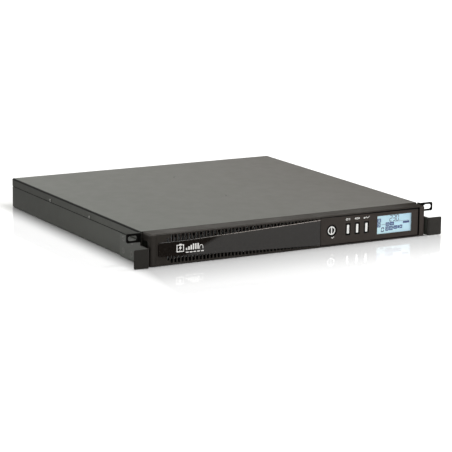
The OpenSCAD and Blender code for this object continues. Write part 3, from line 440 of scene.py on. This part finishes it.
def add(name, me, mat, body, replaces=(), mats=None, angle=32, wn=True):
    o = bpy.data.objects.new(name, me)
    bpy.context.scene.collection.objects.link(o)
    marks = [f.material_index for f in me.polygons]
    me.materials.clear()
    for m in (mats or [mat]):
        me.materials.append(m)
    if mats:
        for f, k in zip(me.polygons, marks):
            f.material_index = k
    shade(me, angle)
    if wn:
        weighted(o)
    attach(o, body)
    if replaces:
        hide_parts(*replaces)
    return o


def clean_copy(node):
    """The node's surface with its coplanar triangles joined into plain faces."""
    bm = bmesh.new()
    bm.from_mesh(NODES[node].data)
    for layer in list(bm.loops.layers.uv):
        bm.loops.layers.uv.remove(layer)
    bmesh.ops.remove_doubles(bm, verts=bm.verts, dist=2e-6)
    bmesh.ops.dissolve_degenerate(bm, edges=bm.edges, dist=1e-7)
    bmesh.ops.dissolve_limit(bm, angle_limit=math.radians(0.4), use_dissolve_boundaries=False, verts=bm.verts, edges=bm.edges, delimit=set())
    return bm


def to_mesh(bm, name):
    bmesh.ops.recalc_face_normals(bm, faces=bm.faces)
    me = bpy.data.meshes.new(name)
    bm.to_mesh(me)
    bm.free()
    for a in ("custom_normal", "sharp_face", "sharp_edge"):
        at = me.attributes.get(a)
        if at is not None:
            me.attributes.remove(at)
    return me


def sharp_edges(bm, angle, test=None):
    lim = math.radians(angle)
    out = []
    for e in bm.edges:
        if len(e.link_faces) == 2 and e.calc_face_angle(0) > lim and (test is None or test(e)):
            out.append(e)
    return out


def mend(bm):
    """Flat faces with holes are filled again from their true outlines, so no opening is bridged."""
    filled = {}
    for a, b, c in bm.calc_loop_triangles():
        filled[a.face] = filled.get(a.face, 0.0) + (b.vert.co - a.vert.co).cross(c.vert.co - a.vert.co).length / 2
    for f in [f for f in bm.faces if len(f.verts) > 4 and abs(filled.get(f, 0.0) - f.calc_area()) > 2e-7]:
        n = f.normal.copy()
        u = n.orthogonal().normalized()
        w = n.cross(u)
        o = f.calc_center_median()
        verts = list(dict.fromkeys(f.verts))
        at = {v: i for i, v in enumerate(verts)}
        flat = [Vector(((v.co - o).dot(u) / MM, (v.co - o).dot(w) / MM)) for v in verts]
        times = {}
        for l in f.loops:
            k = tuple(sorted((at[l.vert], at[l.link_loop_next.vert])))
            times[k] = times.get(k, 0) + 1
        rim = [k for k, c in sorted(times.items()) if c % 2 and k[0] != k[1]]
        pts, _e, tris, src, _se, _sf = delaunay_2d_cdt(flat, rim, [], 0, 1e-5)
        here = [verts[q[0]] if q else bm.verts.new(o + u * (p.x * MM) + w * (p.y * MM)) for p, q in zip(pts, src)]
        kept = []
        for t in tris:
            c = (pts[t[0]] + pts[t[1]] + pts[t[2]]) / 3
            inside = False
            for i, j in rim:
                a, b = flat[i], flat[j]
                if (a.y > c.y) != (b.y > c.y) and c.x < a.x + (c.y - a.y) * (b.x - a.x) / (b.y - a.y):
                    inside = not inside
            if inside and len({here[k] for k in t}) == 3:
                kept.append([here[k] for k in t])
        mark = f.material_index
        bm.faces.remove(f)
        for t in kept:
            if (t[1].co - t[0].co).cross(t[2].co - t[0].co).dot(n) < 0:
                t.reverse()
            try:
                g = bm.faces.new(t)
            except ValueError:
                continue
            g.material_index = mark
            g.smooth = True
        bm.normal_update()


def refine(node, width, seg=2, angle=32, test=None, name=None, mat=None, index=None, mats=None):
    """The node rebuilt with real rounded edges, standing for it on the same body."""
    held = []           # corners too tight for the width, left as they are
    for turn in range(8):
        bm = clean_copy(node)
        surface = BVHTree.FromBMesh(bm)
        tree = KDTree(len(bm.verts))
        for i, v in enumerate(bm.verts):
            tree.insert(v.co, i)
        tree.balance()
        bm.verts.ensure_lookup_table()
        keep = {bm.verts[i] for i in held}
        ed = [e for e in sharp_edges(bm, angle, test) if not (e.verts[0] in keep or e.verts[1] in keep)]
        if not ed or width <= 0 or turn == 7:
            break
        bmesh.ops.bevel(bm, geom=ed, offset=width * MM, offset_type="OFFSET", segments=seg, profile=0.6, affect="EDGES", clamp_overlap=False, loop_slide=True)
        far = set()
        for v in bm.verts:
            near = surface.find_nearest(v.co)
            if near[3] is None or near[3] > (0.6 * width + 0.01) * MM:
                far.add(v)
        if not far:
            break
        bad = set()
        for v in far:
            ring = [e.other_vert(v) for e in v.link_edges]
            for u in ring + [w for q in ring for w in (e.other_vert(q) for e in q.link_edges)]:
                if u not in far:
                    bad.add(tree.find(u.co)[1])
        held = sorted(set(held) | bad)
    bmesh.ops.recalc_face_normals(bm, faces=bm.faces)
    if index:
        for f in bm.faces:
            f.material_index = index(f)
    mend(bm)
    me = to_mesh(bm, (name or node) + "_body")
    return add(name or (node + "_shell"), me, mat or M[SLOT[node]], BODY[node], (node,), mats)


class Build:
    """Closed solids drawn as outlines in the front plane and given a depth."""

    def __init__(self):
        self.bm = bmesh.new()

    def prism(self, pts, y0, y1):
        a = [self.bm.verts.new(P(x, y0, z)) for x, z in pts]
        b = [self.bm.verts.new(P(x, y1, z)) for x, z in pts]
        n = len(pts)
        self.bm.faces.new(a)
        self.bm.faces.new(list(reversed(b)))
        for i in range(n):
            self.bm.faces.new((a[i], b[i], b[(i + 1) % n], a[(i + 1) % n]))

    def loft(self, rings):
        """Rings of points (mm) of equal length joined one to the next, both ends closed."""
        vs = [[self.bm.verts.new(P(*p)) for p in r] for r in rings]
        n = len(vs[0])
        for r0, r1 in zip(vs, vs[1:]):
            for i in range(n):
                self.bm.faces.new((r0[i], r0[(i + 1) % n], r1[(i + 1) % n], r1[i]))
        self.bm.faces.new(list(reversed(vs[0])))
        self.bm.faces.new(vs[-1])

    def ring(self, cx, cz, r0, r1, y0, y1, seg=40):
        an = [2 * math.pi * i / seg for i in range(seg)]
        loops = []
        for r, y in ((r1, y0), (r1, y1), (r0, y1), (r0, y0)):
            loops.append([self.bm.verts.new(P(cx + r * math.cos(t), y, cz + r * math.sin(t))) for t in an])
        for k in range(4):
            a, b = loops[k], loops[(k + 1) % 4]
            for i in range(seg):
                self.bm.faces.new((a[i], a[(i + 1) % seg], b[(i + 1) % seg], b[i]))

    def rect(self, x0, x1, z0, z1, y0, y1, r=0.0, k=4):
        self.prism(rrect(x0, x1, z0, z1, r, k), y0, y1)

    def mesh(self, name, bevel=0.0, seg=2):
        bmesh.ops.recalc_face_normals(self.bm, faces=self.bm.faces)
        if bevel:
            bmesh.ops.bevel(self.bm, geom=sharp_edges(self.bm, 40), offset=bevel * MM, offset_type="OFFSET", segments=seg, profile=0.6, affect="EDGES", clamp_overlap=False)
        return to_mesh(self.bm, name)


def rrect(x0, x1, z0, z1, r, k=4):
    if r <= 0:
        return [(x0, z0), (x1, z0), (x1, z1), (x0, z1)]
    pts = []
    for cx, cz, a0 in ((x1 - r, z0 + r, -90), (x1 - r, z1 - r, 0), (x0 + r, z1 - r, 90), (x0 + r, z0 + r, 180)):
        for i in range(k + 1):
            t = math.radians(a0 + 90 * i / k)
            pts.append((cx + r * math.cos(t), cz + r * math.sin(t)))
    return pts


# ---------------------------------------------------------------- carried-over CAD nodes
for n, o in NODES.items():
    o.data.materials.clear()
    o.data.materials.append(M[SLOT[n]])

# ---------------------------------------------------------------- refined shells
def mm(c):
    return c.x / MM, c.y / MM, c.z / MM - Z0


def ctr(node):
    lo_, hi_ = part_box(node)
    return (lo_.x + hi_.x) / 2 / MM, (lo_.z + hi_.z) / 2 / MM - Z0


BX, BZ = ctr("power_ring")
KEYS = [ctr("key_%d" % k) for k in (1, 2, 3)]


# painted shade: the top faces take a darker copy of the bezel plastic, and the faces inside the opening a near-black
# copy
def bezel_index(f):
    if f.normal.z > 0.6 and mm(f.calc_center_median())[2] > 41:
        return 2
    x, y, z = mm(f.calc_center_median())
    return 1 if -19.5 < y < 4 and -208.4 < x < 207.4 and 1.0 < z < 41.9 else 0


# painted shade: the slot walls and the back of the vent panel take a near-black copy of the plastic
def vent_index(f):
    x, y, z = mm(f.calc_center_median())
    return 1 if y > -19.2 and abs(f.normal.y) < 0.5 or y > -18.5 else 0


# painted shade: the flange behind the panel and the key and button recesses take a near-black copy of the plastic
def panel_index(f):
    x, y, z = mm(f.calc_center_median())
    if y > -18.2:
        return 1
    if y > -18.85:
        if any(abs(x - kx) < 4.2 and abs(z - kz) < 8.8 for kx, kz in KEYS) or math.hypot(x - BX, z - BZ) < 8.5:
            return 1
    return 0


# painted light by facing: the top faces of the cover take cover_paint and its lip and fold faces the lighter case
# paint, though the cover is one sheet
def cover_index(f):
    x, y, z = mm(f.calc_center_median())
    if abs(x) > 216.8 and z > 40.8 and 0.2 < abs(f.normal.x) < 0.985:
        return 1
    return 1 if abs(f.normal.x) > 0.9 else 0


# painted light and shade: the flange faces on the side take a lighter copy of the ear paint and the tab faces a
# near-black copy
def ear_index(f):
    x, y, z = mm(f.calc_center_median())
    if abs(x) < 221.1 and y > 1.5:
        return 2
    return 1 if abs(x) > 221.2 and y > -4 and z > 29.5 else 0


refine("top_cover", 0.22, 2, mats=[M["cover_paint"], M["case_paint"]], index=cover_index)
refine("base_tray", 0.18, 2)
refine("rear_panel", 0.18, 2)
refine("ear_left", 0.28, 2, mats=[M["ear_paint"], M["ear_shade"], M["ear_side_lit"]], index=ear_index)
refine("ear_right", 0.28, 2, mats=[M["ear_paint"], M["ear_shade"], M["ear_side_lit"]], index=ear_index)
refine("bezel_frame", 0.35, 3, mats=[M["bezel_plastic"], M["recess_shade"], M["bezel_top_shade"]], index=bezel_index)
refine("vent_panel", 0.28, 2, mats=[M["panel_satin"], M["recess_shade"]], index=vent_index)
refine("control_panel", 0.30, 2, mats=[M["bezel_plastic"], M["recess_shade"]], index=panel_index)
refine("power_button", 0.16, 2)
refine("slot_cover", 0.15, 2)
# painted shade: the keys' side faces take a grey copy of the white key plastic
for k in (1, 2, 3):
    refine("key_%d" % k, 0.25, 2, mats=[M["button_white"], M["key_side"]], index=lambda f: 0 if f.normal.y < -0.6 else 1)
refine("ear_screws", 0.10, 2)
refine("lid_screws", 0.14, 2, mat=M["screw_dim"])
refine("top_screws", 0.10, 2)
refine("panel_screws", 0.12, 2)
refine("fan_screws", 0.12, 2)
refine("thumb_screws", 0.14, 2)
refine("drawer_tray", 0.14, 2)
refine("battery_plug", 0.3, 2)
refine("ac_inlet", 0.3, 2)
refine("outlets", 0.3, 2)
refine("breaker_button", 0.15, 2)
refine("breaker_body", 0.2, 2)
for k in (1, 2, 3, 4):
    refine("battery_block_%d" % k, 0.25, 2)


# ---------------------------------------------------------------- leaf panel
def leaf_top(x):
    return 31.5 + 7.1 * max(0.0, (x + 165) / 207) ** 1.05


def leaf_bot(x):
    return 12.5 - 8.8 * max(0.0, (x + 200) / 242) ** 0.9


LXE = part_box("leaf_panel")[1].x / MM


def leaf_outline(g):
    pts = []
    for i in range(9):
        t = math.radians(180 - 90 * i / 8)
        pts.append((-201.9 + (2.6 - g) * math.cos(t), 28.9 + (2.6 - g) * math.sin(t)))
    xs = [-196 + (LXE - 1.5 + 196) * i / 78 for i in range(79)]
    pts += [(x, leaf_top(x) - g) for x in xs]
    pts += [(LXE - g, leaf_top(LXE) - g), (LXE - g, leaf_bot(LXE) + g)]
    pts += [(x, leaf_bot(x) + g) for x in reversed(xs)]
    for i in range(9):
        t = math.radians(270 - 90 * i / 8)
        pts.append((-201.9 + (2.6 - g) * math.cos(t), 15.1 + (2.6 - g) * math.sin(t)))
    return pts


def leaf():
    """Gloss panel: rolled edge of 0.9 mm, then a face with a very slight crown."""
    b = Build()
    rings = []
    for g, y in ((0.0, -19.6), (0.0, -20.68), (0.03, -20.74), (0.30, -21.00), (0.36, -21.03), (0.46, -21.045), (1.4, -21.05)):
        rings.append([(x, y, z) for x, z in leaf_outline(g)])
    b.loft(rings)
    me = b.mesh("leaf_panel_body")
    o = add("leaf_panel_gloss", me, None, BODY["leaf_panel"], ("leaf_panel",), mats=[M["leaf_gloss"], M["leaf_edge_highlight"]], angle=50)
    # the rolled top edge takes the painted highlight
    for f in me.polygons:
        if f.normal.z > 0.3 and f.normal.y < -0.25 and f.center.y < -20.6 * MM:
            f.material_index = 1
    return o


leaf()

# ---------------------------------------------------------------- display
lo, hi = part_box("lcd_module")
face_y = lo.y


def lcd_faces(f):
    c = f.calc_center_median()
    return 0 if c.y < face_y + 0.0006 else 1


refine("lcd_module", 0.12, 2, mats=[M["lcd_pale"], M["port_shell"]], index=lcd_faces)
refine("lcd_window", 0.12, 2)

LY = lo.y / MM          # front of the glass, mm


def seven(b, x, z, w, h, t, digit, y0, y1, slant=0.08):
    """One seven-segment figure."""
    on = {0: "abcdef", 1: "bc", 2: "abged", 3: "abgcd", 4: "fgbc", 5: "afgcd", 6: "afgedc", 7: "abc", 8: "abcdefg", 9: "abcdfg"}[digit]
    g = t * 0.18
    hm = h / 2
    seg = {
        "a": (x + g + t * .3, x + w - g - t * .3, z + h - t, z + h), "d": (x + g + t * .3, x + w - g - t * .3, z, z + t), "g": (x + g + t * .3, x + w - g - t * .3, z + hm - t / 2, z + hm + t / 2),
        "f": (x, x + t, z + hm + g, z + h - g), "e": (x, x + t, z + g, z + hm - g), "b": (x + w - t, x + w, z + hm + g, z + h - g), "c": (x + w - t, x + w, z + g, z + hm - g)}
    for s in on:
        x0, x1, z0, z1 = seg[s]
        sh = lambda p: (p[0] + slant * (p[1] - z), p[1])
        k = t * 0.45
        if x1 - x0 > z1 - z0:
            pts = [(x0, (z0 + z1) / 2), (x0 + k, z0), (x1 - k, z0), (x1, (z0 + z1) / 2), (x1 - k, z1), (x0 + k, z1)]
        else:
            pts = [((x0 + x1) / 2, z0), (x1, z0 + k), (x1, z1 - k), ((x0 + x1) / 2, z1), (x0, z1 - k), (x0, z0 + k)]
        b.prism([sh(p) for p in pts], y0, y1)


def frame_box(b, x0, x1, z0, z1, t, y0, y1):
    b.rect(x0, x1, z0, z0 + t, y0, y1)
    b.rect(x0, x1, z1 - t, z1, y0, y1)
    b.rect(x0, x0 + t, z0 + t, z1 - t, y0, y1)
    b.rect(x1 - t, x1, z0 + t, z1 - t, y0, y1)


ya, yb_ = LY - 0.06, LY + 0.02
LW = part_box("lcd_window")
LX0, LZ1 = LW[0].x / MM + 1.9, LW[1].z / MM - Z0 - 1.9


def R(b, x0, x1, z0, z1):
    """Bar placed from the left edge and the top edge of the glass."""
    b.rect(LX0 + x0, LX0 + x1, LZ1 - z1, LZ1 - z0, ya, yb_)


def F(b, x0, x1, z0, z1, t):
    frame_box(b, LX0 + x0, LX0 + x1, LZ1 - z1, LZ1 - z0, t, ya, yb_)


b = Build()
# left column: two outlined cells with bars
F(b, 1.6, 7.6, 4.4, 9.8, 1.2)
R(b, 3.2, 4.2, 6.2, 8.0)
R(b, 5.0, 6.0, 6.2, 8.0)
F(b, 1.4, 7.0, 10.6, 16.4, 1.3)
R(b, 3.2, 4.9, 12.4, 14.6)
# flow diagram: two blocks above, three below, joined by short lines
F(b, 15.6, 21.8, 10.7, 15.6, 1.4)
R(b, 17.6, 19.8, 12.4, 13.7)
F(b, 22.6, 29.4, 10.5, 15.4, 1.5)
R(b, 24.8, 27.4, 12.2, 13.4)
R(b, 21.6, 22.8, 12.6, 13.5)
F(b, 15.4, 20.6, 16.4, 22.4, 1.4)
R(b, 17.2, 18.6, 18.2, 20.4)
F(b, 21.3, 27.4, 16.2, 22.2, 1.5)
R(b, 23.2, 25.4, 18.2, 20.0)
F(b, 28.8, 35.0, 16.2, 21.0, 1.5)
R(b, 30.8, 33.0, 17.8, 19.2)
R(b, 35.6, 38.2, 16.4, 20.4)
F(b, 38.9, 43.4, 16.1, 20.8, 1.4)
R(b, 27.2, 29.0, 18.0, 19.0)
# bar on the right
R(b, 44.4, 55.0, 11.2, 14.0)
add("lcd_figures", b.mesh("lcd_figures"), M["lcd_ink"], "chassis", wn=False)
b = Build()
for i, d in enumerate((2, 3, 0)):
    seven(b, LX0 + 21.4 + i * 5.5, LZ1 - 9.8, 4.6, 8.9, 0.95, d, ya, yb_)
seven(b, LX0 + 7.8, LZ1 - 23.6, 5.0, 6.6, 1.3, 0, ya, yb_)
R(b, 38.4, 39.2, 8.8, 9.6)
R(b, 31.0, 44.0, 10.3, 10.7)
R(b, 44.6, 54.6, 10.2, 10.6)
R(b, 8.6, 14.6, 13.0, 13.5)
add("lcd_digits", b.mesh("lcd_digits"), M["lcd_thin"], "chassis", wn=False)

# ---------------------------------------------------------------- power ring and printed marks
lo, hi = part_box("power_ring")
ry0, ry1 = lo.y / MM, hi.y / MM
b = Build()
prof = ((4.45, ry1), (4.45, ry0 + 0.12), (4.57, ry0), (5.73, ry0), (5.85, ry0 + 0.12), (5.85, ry1))
seg = 64
loops = [[b.bm.verts.new(P(BX + r * math.cos(2 * math.pi * i / seg), y, BZ + r * math.sin(2 * math.pi * i / seg))) for i in range(seg)] for r, y in prof]
for k in range(len(loops)):
    p, q = loops[k], loops[(k + 1) % len(loops)]
    for i in range(seg):
        b.bm.faces.new((p[i], p[(i + 1) % seg], q[(i + 1) % seg], q[i]))
b.rect(BX - 0.72, BX + 0.72, BZ - 4.5, BZ + 4.5, ry0 + 0.02, ry1, 0.3)
me = b.mesh("power_ring_body")
add("power_ring_light", me, M["button_white"], "power_key", ("power_ring",), wn=False)

CY = -19.0              # front of the control panel
py0, py1 = CY - 0.04, CY + 0.03


def arc(cx, cz, r0, r1, a0, a1, k=10):
    o = [(cx + r1 * math.cos(math.radians(a0 + (a1 - a0) * i / k)), cz + r1 * math.sin(math.radians(a0 + (a1 - a0) * i / k))) for i in range(k + 1)]
    q = [(cx + r0 * math.cos(math.radians(a1 - (a1 - a0) * i / k)), cz + r0 * math.sin(math.radians(a1 - (a1 - a0) * i / k))) for i in range(k + 1)]
    return o + q


b = Build()
# over key 1: stand-by sign and a bar
k1, k2, k3 = (KEYS[0][0], KEYS[1][0], KEYS[2][0])
mz = KEYS[0][1] + 13.9
b.prism(arc(k1 - 2.0, mz, 1.0, 1.65, 125, 415, 16), py0, py1)
b.rect(k1 - 2.3, k1 - 1.7, mz + 0.2, mz + 2.0, py0, py1)
b.rect(k1 + 0.7, k1 + 3.1, mz - 1.3, mz - 0.5, py0, py1)
b.rect(k1 + 0.7, k1 + 3.1, mz + 0.5, mz + 1.3, py0, py1)
# over key 2: left and right pointers either side of a square
b.prism([(k2 - 4.4, mz), (k2 - 2.0, mz - 1.6), (k2 - 2.0, mz + 1.6)], py0, py1)
frame_box(b, k2 - 1.2, k2 + 1.2, mz - 1.3, mz + 1.3, 0.6, py0, py1)
b.prism([(k2 + 4.4, mz), (k2 + 2.0, mz + 1.6), (k2 + 2.0, mz - 1.6)], py0, py1)
# over key 3: return arrow and a tick
b.prism([(k3 + x, mz + z) for x, z in ((-5.1, -0.5), (-3.0, -2.1), (-3.0, -0.8), (-0.1, -0.8), (-0.1, 1.4), (-0.8, 1.4), (-0.8, -0.1), (-3.0, -0.1), (-3.0, 1.1))], py0, py1)
b.prism([(k3 + x, mz + z) for x, z in ((0.9, -0.1), (2.2, -1.6), (5.0, 1.4), (4.5, 1.9), (2.2, -0.6), (1.4, 0.4))], py0, py1)
# small tick under the power button
b.prism([(BX + x, BZ + z) for x, z in ((-0.5, -9.6), (1.2, -11.2), (4.2, -8.9), (3.8, -8.3), (1.3, -10.1), (0.0, -8.9))], py0, py1)
add("key_marks", b.mesh("key_marks"), M["print_white"], "chassis", wn=False)

# generic energy pictogram on the leaf: socket pins, battery with bars, flow line
LYF = -21.05
qy0, qy1 = LYF - 0.04, LYF + 0.04
b = Build()
frame_box(b, -178.0, -167.2, 16.6, 26.4, 1.1, qy0, qy1)
b.rect(-174.6, -170.6, 26.4, 27.4, qy0, qy1)
b.prism([(-172.0, 25.0), (-175.2, 21.2), (-173.0, 21.2), (-173.9, 17.9), (-170.0, 22.4), (-172.3, 22.4), (-170.9, 25.0)], qy0, qy1)
for i, (x, hgt) in enumerate(((-164.2, 3.0), (-160.8, 4.6), (-157.4, 6.2), (-154.0, 7.8), (-150.6, 7.8), (-147.2, 7.8))):
    b.rect(x, x + 2.1, 18.2, 18.2 + hgt, qy0, qy1, 0.4)
b.prism(arc(-141.3, 21.0, 1.9, 2.8, 0, 180, 12), qy0, qy1)
b.rect(-144.1, -143.2, 18.2, 21.0, qy0, qy1)
b.rect(-139.4, -138.5, 18.2, 21.0, qy0, qy1)
for i in range(5):
    b.rect(-164.2 + i * 5.6, -160.0 + i * 5.6, 14.6, 15.9, qy0, qy1, 0.4)
add("leaf_marks", b.mesh("leaf_marks"), M["print_white"], "front_panel", wn=False)

# ---------------------------------------------------------------- rear details
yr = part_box("rear_panel")[1].y / MM
b = Build()
for row, n_, z in ((0, 5, 17.3), (1, 4, 14.5)):
    for i in range(n_):
        x = -51 + (i - (n_ - 1) / 2) * 2.77
        b.loft([[(x + r * math.cos(2 * math.pi * k / 10), y, z + r * math.sin(2 * math.pi * k / 10)) for k in range(10)] for r, y in ((0.5, yr - 0.95), (0.5, yr + 3.4), (0.3, yr + 3.9), (0.12, yr + 4.05))])
add("serial_pins", b.mesh("serial_pins"), M["contact_metal"], "chassis")
b = Build()
b.rect(-29.8, -24.2, 13.2, 16.8, yr - 13.9, yr - 1.2, 0.5)
b_me = b.mesh("usb_tongue", 0.25)
add("usb_tongue", b_me, M["contact_dark"], "chassis")
b = Build()
for x in (-28.6, -25.9):
    for z0_, z1_ in ((12.95, 13.25), (16.75, 17.05)):
        b.rect(x, x + 0.9, z0_, z1_, yr - 12.5, yr - 2.2)
add("usb_contacts", b.mesh("usb_contacts"), M["contact_metal"], "chassis", wn=False)

# ---------------------------------------------------------------- floor and light
fz = (Z0 - 0.15) * MM
me = bpy.data.meshes.new("floor")
bm = bmesh.new()
S = 14.0
vs = [bm.verts.new(p) for p in ((-S, -S, fz), (S, -S, fz), (S, S, fz), (-S, S, fz))]
bm.faces.new(vs)
bm.to_mesh(me)
bm.free()
floor = bpy.data.objects.new("floor", me)
bpy.context.scene.collection.objects.link(floor)
n = Nodes("floor_pale")
geo = n.t.nodes.new("ShaderNodeNewGeometry").outputs["Position"]
sep = n.t.nodes.new("ShaderNodeSeparateXYZ")
n.link(geo, sep.inputs[0])
gx, gy = sep.outputs["X"], sep.outputs["Y"]
ray = n.t.nodes.new("ShaderNodeLightPath")
fc = n.mix(n.range(n.noise(1.6, 3), 0.3, 0.7, 0, 1), (0.635, 0.635, 0.635), (0.65, 0.65, 0.65))
fr = n.range(n.noise(8, 3), 0.3, 0.7, 0.035, 0.05)
# the sweep brightens away from the object, as the camera sees it
dy = n.math("SUBTRACT", gy, 0.2)
far = n.math("MAXIMUM", n.math("SUBTRACT", n.math("ABSOLUTE", gx), 0.24), n.math("SUBTRACT", n.math("ABSOLUTE", dy), 0.225))
glow = n.range(gy, -0.026, -0.150, 0.015, 0.34, True)
glow = n.math("MAXIMUM", glow, n.range(gx, -0.219, -0.25, 0.0, 0.38, True))
glow = n.math("MAXIMUM", glow, n.range(gx, 0.245, 0.32, 0.0, 0.32, True))
glow = n.math("MAXIMUM", glow, n.range(gy, 0.42, 0.5, 0.0, 0.25, True))
glow = n.math("ADD", glow, n.range(far, 0.2, 1.1, 0.0, 0.5))
glow = n.math("MULTIPLY", glow, ray.outputs["Is Camera Ray"])
surf = n.pbsdf(fc, fr, 0.0, None, Specular_IOR_Level=0.5, Emission_Color=(1, 1, 1), Emission_Strength=glow)
# painted dark reflections, seen by glossy rays only: a dark flag in front of the left half, and floor to the left of
# the unit darkening further out and toward the back
side = n.math("ADD", n.math("MULTIPLY", n.math("ADD", gx, 0.0915), -0.653), n.math("MULTIPLY", n.math("ADD", gy, 0.1004), -0.757))
flag = n.range(side, 0.0, 0.007, 0.0, 0.97)
left = n.math("MULTIPLY", n.range(gx, -0.224, -0.235, 0.0, 1.0), n.math("ADD", n.range(gx, -0.25, -0.31, 0.0, 0.18), n.range(gy, 0.16, 0.5, 0.0, 0.42)))
fac = n.math("MULTIPLY", n.math("MAXIMUM", flag, left), ray.outputs["Is Glossy Ray"])
dark = n.t.nodes.new("ShaderNodeEmission")
dark.inputs["Color"].default_value = (0.02, 0.02, 0.02, 1)
ms = n.t.nodes.new("ShaderNodeMixShader")
n.link(fac, ms.inputs[0])
n.link(surf, ms.inputs[1])
n.link(dark.outputs[0], ms.inputs[2])
me.materials.append(n.done(ms.outputs[0], (0.9, 0.9, 0.9)))

world = bpy.data.worlds.new("studio")
bpy.context.scene.world = world
world.use_nodes = True
wt = world.node_tree
wt.nodes.clear()
wo = wt.nodes.new("ShaderNodeOutputWorld")
bg = wt.nodes.new("ShaderNodeBackground")
cam_bg = wt.nodes.new("ShaderNodeBackground")
cam_bg.inputs["Color"].default_value = (1, 1, 1, 1)
cam_bg.inputs["Strength"].default_value = 1.08
lp = wt.nodes.new("ShaderNodeLightPath")
mixw = wt.nodes.new("ShaderNodeMixShader")
tc = wt.nodes.new("ShaderNodeTexCoord")
sx = wt.nodes.new("ShaderNodeSeparateXYZ")
ramp = wt.nodes.new("ShaderNodeValToRGB")
wt.links.new(tc.outputs["Generated"], sx.inputs[0])
wt.links.new(sx.outputs["Z"], ramp.inputs[0])
cr = ramp.color_ramp
cr.interpolation = "EASE"
cr.elements[0].position = 0.0
cr.elements[0].color = (0.92, 0.92, 0.88, 1)
cr.elements[1].position = 1.0
cr.elements[1].color = (1, 1, 1, 1)
for pos, v in ((0.24, 0.92), (0.36, 0.10), (0.62, 0.10), (0.82, 0.40)):
    el = cr.elements.new(pos)
    el.color = (v, v, v * (0.955 if pos < 0.5 else 1.0), 1)
wt.links.new(ramp.outputs["Color"], bg.inputs["Color"])
bg.inputs["Strength"].default_value = 1.3
wt.links.new(lp.outputs["Is Camera Ray"], mixw.inputs[0])
wt.links.new(bg.outputs[0], mixw.inputs[1])
wt.links.new(cam_bg.outputs[0], mixw.inputs[2])
wt.links.new(mixw.outputs[0], wo.inputs[0])


def area(name, loc, target, size, power, size_y=None, color=(1, 1, 1), spread=180):
    d = bpy.data.lights.new(name, "AREA")
    d.shape = "RECTANGLE"
    d.size, d.size_y = size, size_y or size
    d.energy = power
    d.color = color
    d.spread = math.radians(spread)
    o = bpy.data.objects.new(name, d)
    bpy.context.scene.collection.objects.link(o)
    o.location = loc
    o.rotation_mode = "QUATERNION"
    o.rotation_quaternion = (Vector(target) - Vector(loc)).to_track_quat("-Z", "Y")
    o.visible_camera = False
    return o


area("top_soft", (0.4, 0.1, 2.6), (0.0, 0.2, 0.0), 2.6, 34, 2.2)
area("key", (1.03, -0.45, 1.7), (0.0, 0.0, 0.0), 0.40, 22, 0.45)
area("front_soft", (0.9, -2.8, 1.5), (0.0, 0.0, 0.0), 1.8, 18, 1.2)
area("rear_soft", (-0.6, 3.2, 1.6), (0.0, 0.3, 0.0), 1.8, 10, 1.0)

# ---------------------------------------------------------------- camera
A, E, R = math.radians(29.775253591957387), math.radians(12.188272263138382), math.radians(0.7516338454023649)
fwd = Vector((math.sin(A) * math.cos(E), math.cos(A) * math.cos(E), -math.sin(E)))
right = Vector((math.cos(A), -math.sin(A), 0))
up = right.cross(fwd)
r2 = math.cos(R) * right + math.sin(R) * up
u2 = -math.sin(R) * right + math.cos(R) * up
cam = bpy.data.cameras.new("camera")
co = bpy.data.objects.new("camera", cam)
bpy.context.scene.collection.objects.link(co)
cam.sensor_width = 36.0
cam.lens = 1994.7393627677554 * 36 / 452
cam.clip_start, cam.clip_end = 0.05, 60
loc = P(-1379.39502616418, -2249.447523076199, 599.2483010431744)
co.matrix_world = Matrix(((r2.x, u2.x, -fwd.x, loc.x), (r2.y, u2.y, -fwd.y, loc.y), (r2.z, u2.z, -fwd.z, loc.z), (0, 0, 0, 1)))
bpy.context.scene.camera = co
bpy.context.scene.view_settings.view_transform = "Standard"
bpy.context.scene.view_settings.look = "None"
